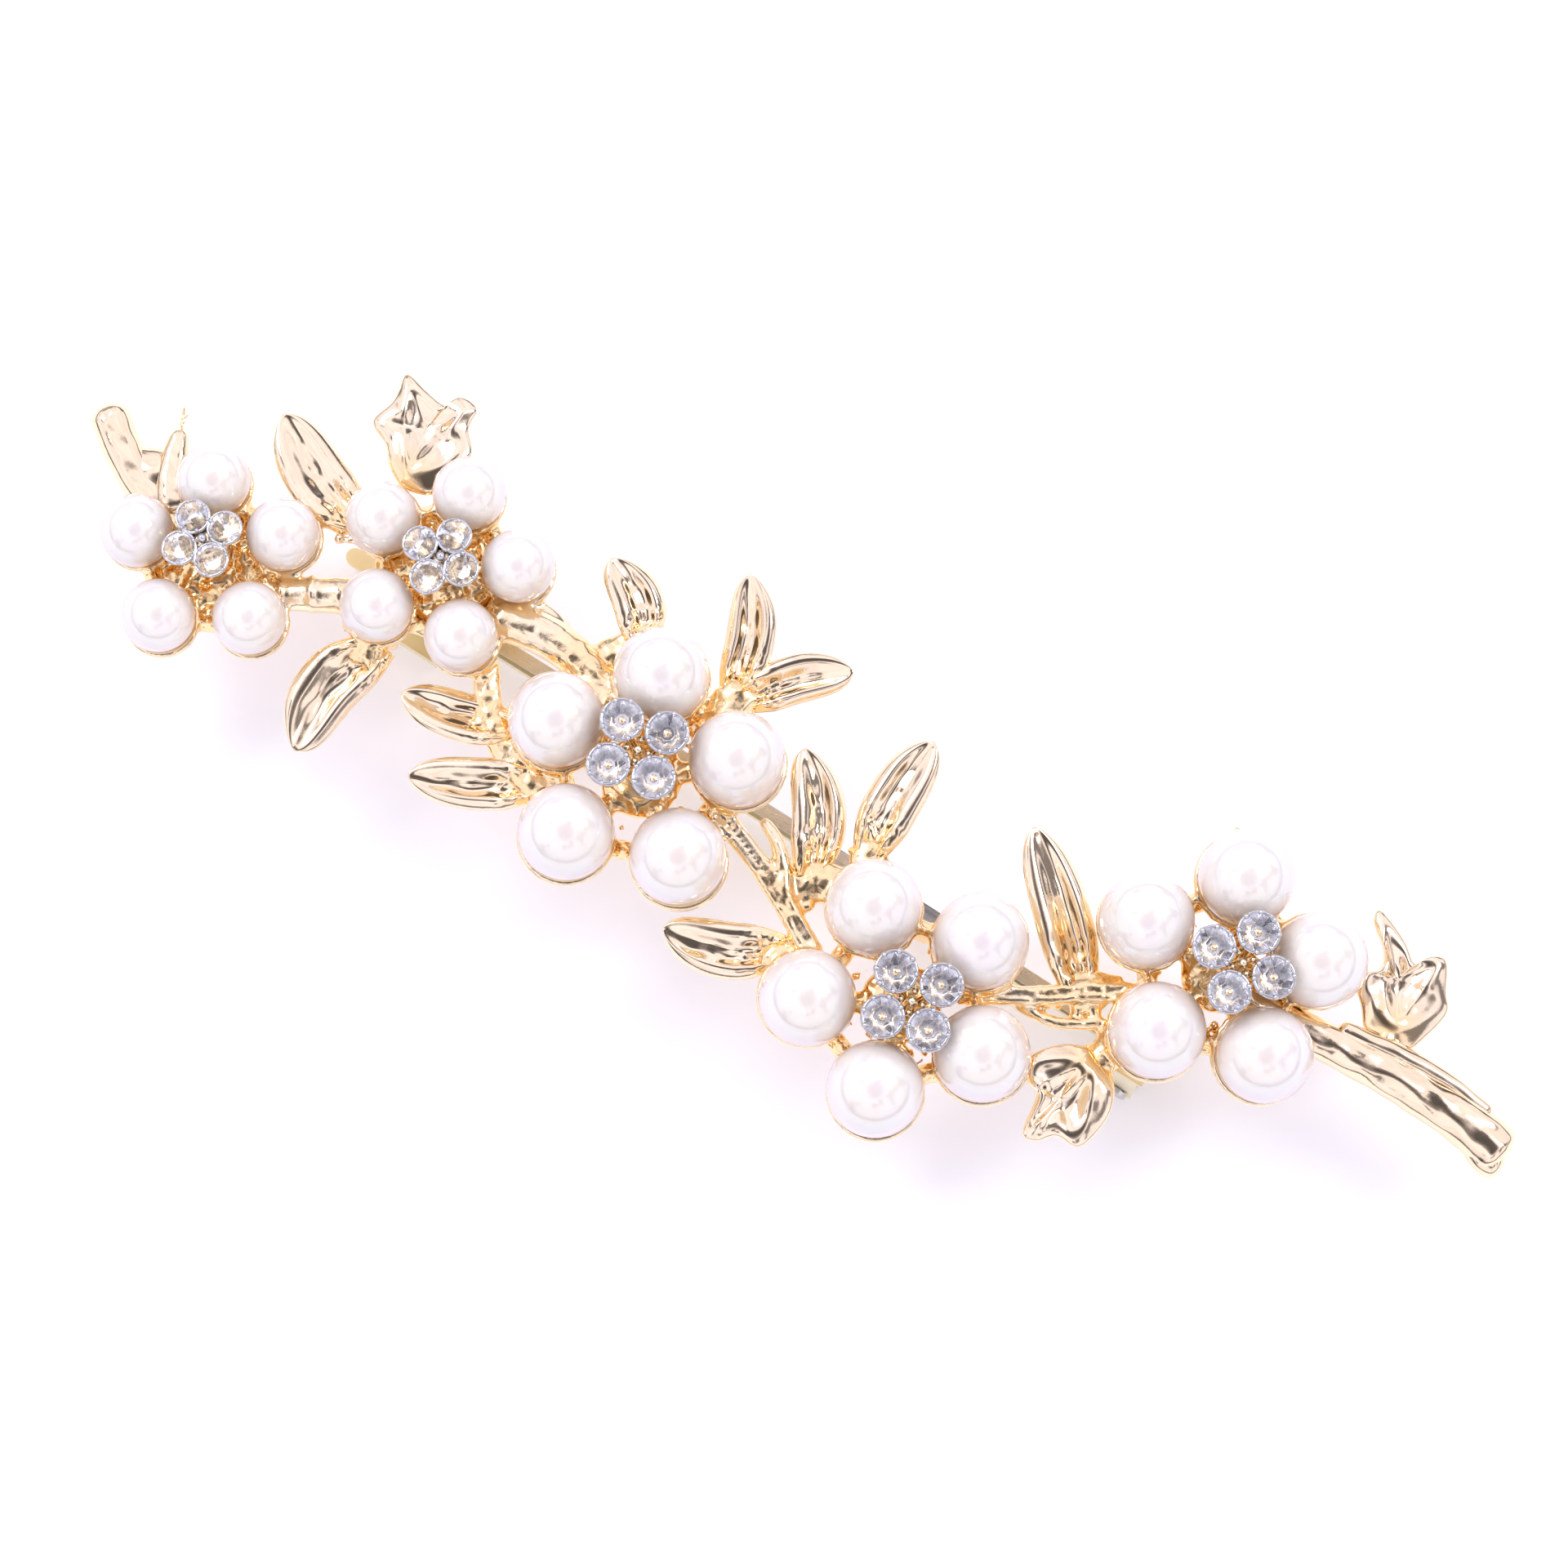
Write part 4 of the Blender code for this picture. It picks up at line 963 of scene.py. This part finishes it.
def build_flash():
    """Fine wires that the casting left at the spur's tip."""
    (x, y, height), (step_x, step_y) = FLASH_FOOT, FLASH_STEP
    wires = []
    for k in range(FLASH_WIRES):
        foot = on_casting(x + step_x * k + DICE.uniform(-0.1, 0.1), y + step_y * k, height)
        tip = foot + Vector((DICE.uniform(-0.35, 0.15), DICE.uniform(0.2, 0.45), DICE.uniform(-0.1, 0.25)))
        wires.append(rod(foot, tip, 0.1, 0.05, 8))
    mesh = mesh_from("flash", wires)
    # An even, larger share of the painted bounce colour all over.
    mark(mesh, "painted_recess_bounce", np.full(len(mesh.vertices), 0.6))
    piece("branch_flash", mesh, [CASTING_GOLD])


# ------------------------
# Pearls, settings and stones


def build_pearls():
    """The pearls, each turned its own way, marked low down for the painted reflection of the gold below."""
    for number, flower in enumerate(FLOWERS, 1):
        radius = flower["pearl"] / 2
        for k, (x, y) in enumerate(pearl_places(flower), 1):
            matrix = at_point(flower_frame(flower), x, y, PEARL_FOOT + radius)
            spin = Matrix.Rotation(DICE.uniform(0, 6), 4, "Z")
            tilt = Matrix.Rotation(DICE.uniform(0.2, 1.2), 4, "X")
            mesh = mesh_from(f"pearl_{number}_{k}", [ball(matrix @ (spin @ tilt), radius, PEARL_STEPS)])
            # Painted reflection: the lower a point on the pearl, the more of the gold's peach it gets.
            lift = (points_of(mesh)[:, 2] - matrix.translation.z) / radius
            mark(mesh, "painted_gold_reflection", np.clip(1.02 - 1.1 * lift, 0, 1) ** 1.3)
            piece(f"pearl_bead_{number}_{k}", mesh, [PEARL], [f"pearl_{number}_{k}"])


def build_setting(number, flower):
    """Four stone cups with beaded rims, on a column or on posts, and a ball in the middle."""
    kind, matrix = stone_kind(flower), flower_frame(flower)
    small = kind is SMALL_STONE
    lean_x, lean_y = flower["lean"]
    foot, rim, base = kind["foot"], kind["rim"], kind["cup_z"]
    girdle = kind["stone"] / 2
    beads, bead_radius, bead_reach = (6, 0.13, 0.03) if small else (8, 0.17, 0.07)
    cup = [
        (0, 0.0), (foot * 0.9, 0.0), (foot, 0.08), (rim * 0.88, 0.62), (rim * 0.97, 0.86), (rim, 0.97),
        (rim * 0.985, 1.06), (girdle + 0.06, 1.1), (girdle + 0.005, 1.04), (girdle * 0.96, 0.9),
        (foot * 0.5, 0.3), (0, 0.3),
    ]
    white, gilt = 0, 1
    shapes, slots = [], []

    def add(slot, shape):
        shapes.append(shape)
        slots.append(slot)

    for x, y in stone_places(flower):
        here = at_point(matrix, x, y, base)
        add(white, turned(cup, 28, here))
        for bead_x, bead_y in ring_points(beads, girdle + bead_reach, DICE.uniform(0, 360)):
            add(white, ball(at_point(here, bead_x, bead_y, 1.07), bead_radius, 10))
        if not small:
            start = matrix @ Vector((lean_x + (x - lean_x) * 0.25, lean_y + (y - lean_y) * 0.25, 1.3))
            add(gilt, rod(start, here @ Vector((0, 0, 0.1)), 0.34, 0.42))
    centre = at_point(matrix, lean_x, lean_y)
    if small:
        wall = kind["ring"] + rim * 0.45
        walls = [(1.1, 1.05), (wall * 0.8, base - 0.1), (wall * 0.72, base + 0.7)]
        add(gilt, turned([(0, 1.0), *walls, (0, base + 0.75)], 28, centre))
        add(white, ball(at_point(centre, 0, 0, base + 1.0), 0.27, 14))
    else:
        add(gilt, rod(centre @ Vector((0, 0, 1.0)), centre @ Vector((0, 0, base + 0.2)), 0.5, 0.36))
        add(gilt, ball(at_point(centre, 0, 0, base + 0.62), 0.3, 14))
        for x, y in ring_points(4, 0.62, flower["stones"] + 45, flower["lean"]):
            add(gilt, ball(at_point(matrix, x, y, base + 0.45), 0.22, 12))
    mesh = mesh_from("setting", shapes, slots)
    # The painted bounce mark here just grows towards the bottom: the lower a point, the more of the deeper
    # colour, which is gold on the white cups.
    height = points_of(mesh)[:, 2] - matrix.translation.z
    mark(mesh, "painted_recess_bounce", np.clip(1.0 - height / (base + 1.0), 0, 1))
    piece(
        f"setting_{number}", mesh, [SETTING_METAL, CASTING_GOLD], [f"stone_setting_{number}"]
    )


def stone_shape(radius, matrix):
    """A round brilliant: table, crown and girdle, and a pointed back that stops short in a small flat."""
    steps = 8
    rows = [
        (steps, radius * 0.54, 0, STONE_GIRDLE + radius * 0.40),
        (steps, radius * 0.80, 180 / steps, STONE_GIRDLE + radius * 0.24),
        (steps * 2, radius, 0, STONE_GIRDLE + 0.05),
        (steps * 2, radius, 0, STONE_GIRDLE),
        (steps, radius * 0.38, 0, 0.43),
    ]
    points = [matrix @ Vector((x, y, z)) for *ring, z in rows for x, y in ring_points(*ring)]
    table, crown, girdle, under, back = 0, steps, 2 * steps, 4 * steps, 6 * steps
    faces = [tuple(range(steps))]
    for k in range(steps):
        after = (k + 1) % steps
        outer, outer_next, outer_after = 2 * k, 2 * k + 1, (2 * k + 2) % (2 * steps)
        faces.append((table + k, crown + k, table + after))
        faces.append((table + after, crown + k, girdle + outer_after, crown + after))
        faces.append((crown + k, girdle + outer, girdle + outer_next))
        faces.append((crown + k, girdle + outer_next, girdle + outer_after))
        for o, p in ((outer, outer_next), (outer_next, outer_after)):
            faces.append((girdle + o, under + o, under + p, girdle + p))
        faces.append((under + outer, back + k, under + outer_next))
        faces.append((under + outer_next, back + k, back + after))
        faces.append((under + outer_next, back + after, under + outer_after))
    faces.append(tuple(back + k for k in range(steps)))
    return points, faces


def build_stones(number, flower):
    """A flower's four stones, each facet with a random painted reflection, from dark to bright. The facets
    below the girdle are silvered.
    """
    kind = stone_kind(flower)
    for k, (x, y) in enumerate(stone_places(flower), 1):
        turn = Matrix.Rotation(DICE.uniform(0, 0.8), 4, "Z")
        matrix = at_point(flower_frame(flower), x, y, kind["cup_z"]) @ turn
        mesh = mesh_from(f"stone_{number}_{k}", [stone_shape(kind["stone"] / 2, matrix)])
        painted_glints = []
        floor_z = (matrix @ Vector((0, 0, STONE_GIRDLE))).z
        for face in mesh.polygons:
            face.use_smooth = False
            face.material_index = int(face.center.z < floor_z)
            # A random painted reflection for each facet.
            painted_glints.append(DICE.random())
        mark(mesh, "facet", painted_glints, "FACE")
        piece(f"crystal_{number}_{k}", mesh, [CRYSTAL, FOIL], [f"stone_{number}_{k}"])


# ------------------------
# Clip


def dress(node, material):
    """Gives its material to a CAD node that stays."""
    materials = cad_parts[node].data.materials
    materials.clear()
    materials.append(material)


def build_clip():
    """The clip's CAD nodes stay as they are, in brass and steel."""
    for node in ("hinge_bracket", "clip_arm", "latch_plate", "latch_prong_front", "latch_prong_back"):
        dress(node, BRASS)
    for node in ("hinge_pin", "tension_spring"):
        dress(node, SPRING_STEEL)


# ------------------------
# Studio

# Where the camera and the dark opening in the room lie from the object, and the camera's own values.
VIEW_AZIMUTH = 32.6
VIEW_ELEVATION = 80.0
VIEW_DISTANCE = 0.316
LENS = 135.0
TARGET = Vector((-0.00085, 0.00113, 0.009))
OPENING_AZIMUTH = 32.6
OPENING_ELEVATION = 80.0
FLOOR_HALF = 0.6

# Soft boxes: azimuth, elevation, distance, the two sides and the power in watts.
SOFTBOXES = {
    "softbox_right": (139, 50, 0.8, (0.17, 0.30), 1.25),
    "softbox_left": (-102, 50, 0.8, (0.30, 0.30), 1.35),
}

# The room's light, as (value, grey level) stops: by height, by a cloud of panels, and by the cosine of the
# angle to the opening overhead.
ROOM_STRENGTH = 1.32
ROOM_TINT = (0.98, 0.97, 1.03)
ROOM_BY_HEIGHT = ((0.0, 0.9), (0.02, 0.18), (0.11, 0.25), (0.22, 0.95), (0.8, 1.02), (1.0, 1.0))
ROOM_PANELS = ((0.38, 0.22), (0.45, 0.85), (0.6, 1.0))
PANEL_SCALE = 2.3
ROOM_BY_OPENING = ((0.915, 1.0), (0.955, 0.32), (0.99, 0.10))


def direction(azimuth, elevation):
    """From the object towards a place at that azimuth and elevation."""
    a, e = math.radians(azimuth), math.radians(elevation)
    return Vector((math.sin(a) * math.cos(e), -math.cos(a) * math.cos(e), math.sin(e)))


def add_camera():
    data = bpy.data.cameras.new("camera")
    data.lens = LENS
    data.sensor_width = 36.0
    data.clip_start, data.clip_end = 0.01, 20.0
    camera = bpy.data.objects.new("camera", data)
    bpy.context.scene.collection.objects.link(camera)
    back = direction(VIEW_AZIMUTH, VIEW_ELEVATION)
    camera.location = TARGET + back * VIEW_DISTANCE
    camera.rotation_mode = "QUATERNION"
    camera.rotation_quaternion = (-back).to_track_quat("-Z", "Y")
    bpy.context.scene.camera = camera


def add_softbox(name, azimuth, elevation, distance, size, power):
    """A rectangular light that faces the object."""
    data = bpy.data.lights.new(name, "AREA")
    data.shape = "RECTANGLE"
    data.size, data.size_y = size
    data.energy = power
    light = bpy.data.objects.new(name, data)
    bpy.context.scene.collection.objects.link(light)
    towards = direction(azimuth, elevation)
    light.location = towards * distance
    light.rotation_mode = "QUATERNION"
    light.rotation_quaternion = (-towards).to_track_quat("-Z", "Y")


def add_floor():
    corners = [(x * FLOOR_HALF, y * FLOOR_HALF, 0) for x, y in ((-1, -1), (1, -1), (1, 1), (-1, 1))]
    mesh = bpy.data.meshes.new("studio_floor")
    mesh.from_pydata(corners, [], [(0, 1, 2, 3)])
    mesh.materials.append(floor_material())
    floor = bpy.data.objects.new("studio_floor", mesh)
    bpy.context.scene.collection.objects.link(floor)


def add_world():
    """A pale room with a dim skirting and a dark opening overhead, which the gold and the pearls reflect."""
    room = Nodes(bpy.data.worlds.new("studio"), "Background")
    bpy.context.scene.world = room.owner
    around = room.add("ShaderNodeTexCoord").outputs["Generated"]

    def greys(value, stops):
        return room.ramp(value, *((at, tuple(level * tint for tint in ROOM_TINT)) for at, level in stops))

    split = room.add("ShaderNodeSeparateXYZ")
    room.link(around, split.inputs[0])
    by_height = greys(split.outputs["Z"], ROOM_BY_HEIGHT)
    by_panel = greys(room.noise(PANEL_SCALE, 1.0, around), ROOM_PANELS)
    cosine = room.add("ShaderNodeVectorMath", operation="DOT_PRODUCT")
    cosine.inputs[1].default_value = direction(OPENING_AZIMUTH, OPENING_ELEVATION)
    room.link(around, cosine.inputs[0])
    by_opening = greys(cosine.outputs["Value"], ROOM_BY_OPENING)
    light = room.mix(1.0, room.mix(1.0, by_height, by_panel, "MULTIPLY"), by_opening, "MULTIPLY")
    room.link(light, room.shader.inputs["Color"])
    room.set(Strength=ROOM_STRENGTH)


def build_studio():
    add_floor()
    add_world()
    add_camera()
    for name, values in SOFTBOXES.items():
        add_softbox(name, *values)
    bpy.context.scene.view_settings.view_transform = "Standard"


# ------------------------

build_casting_core()
for leaf_number, (leaf_name, leaf) in enumerate(LEAVES.items()):
    build_leaf(leaf_name, *leaf, leaf_number)
for ivy_number, (ivy_name, ivy) in enumerate(IVY_LEAVES.items()):
    build_ivy(ivy_name, *ivy, ivy_number)
build_fingers()
build_flash()
build_pearls()
for flower_number, one_flower in enumerate(FLOWERS, 1):
    build_setting(flower_number, one_flower)
    build_stones(flower_number, one_flower)
build_clip()
build_studio()
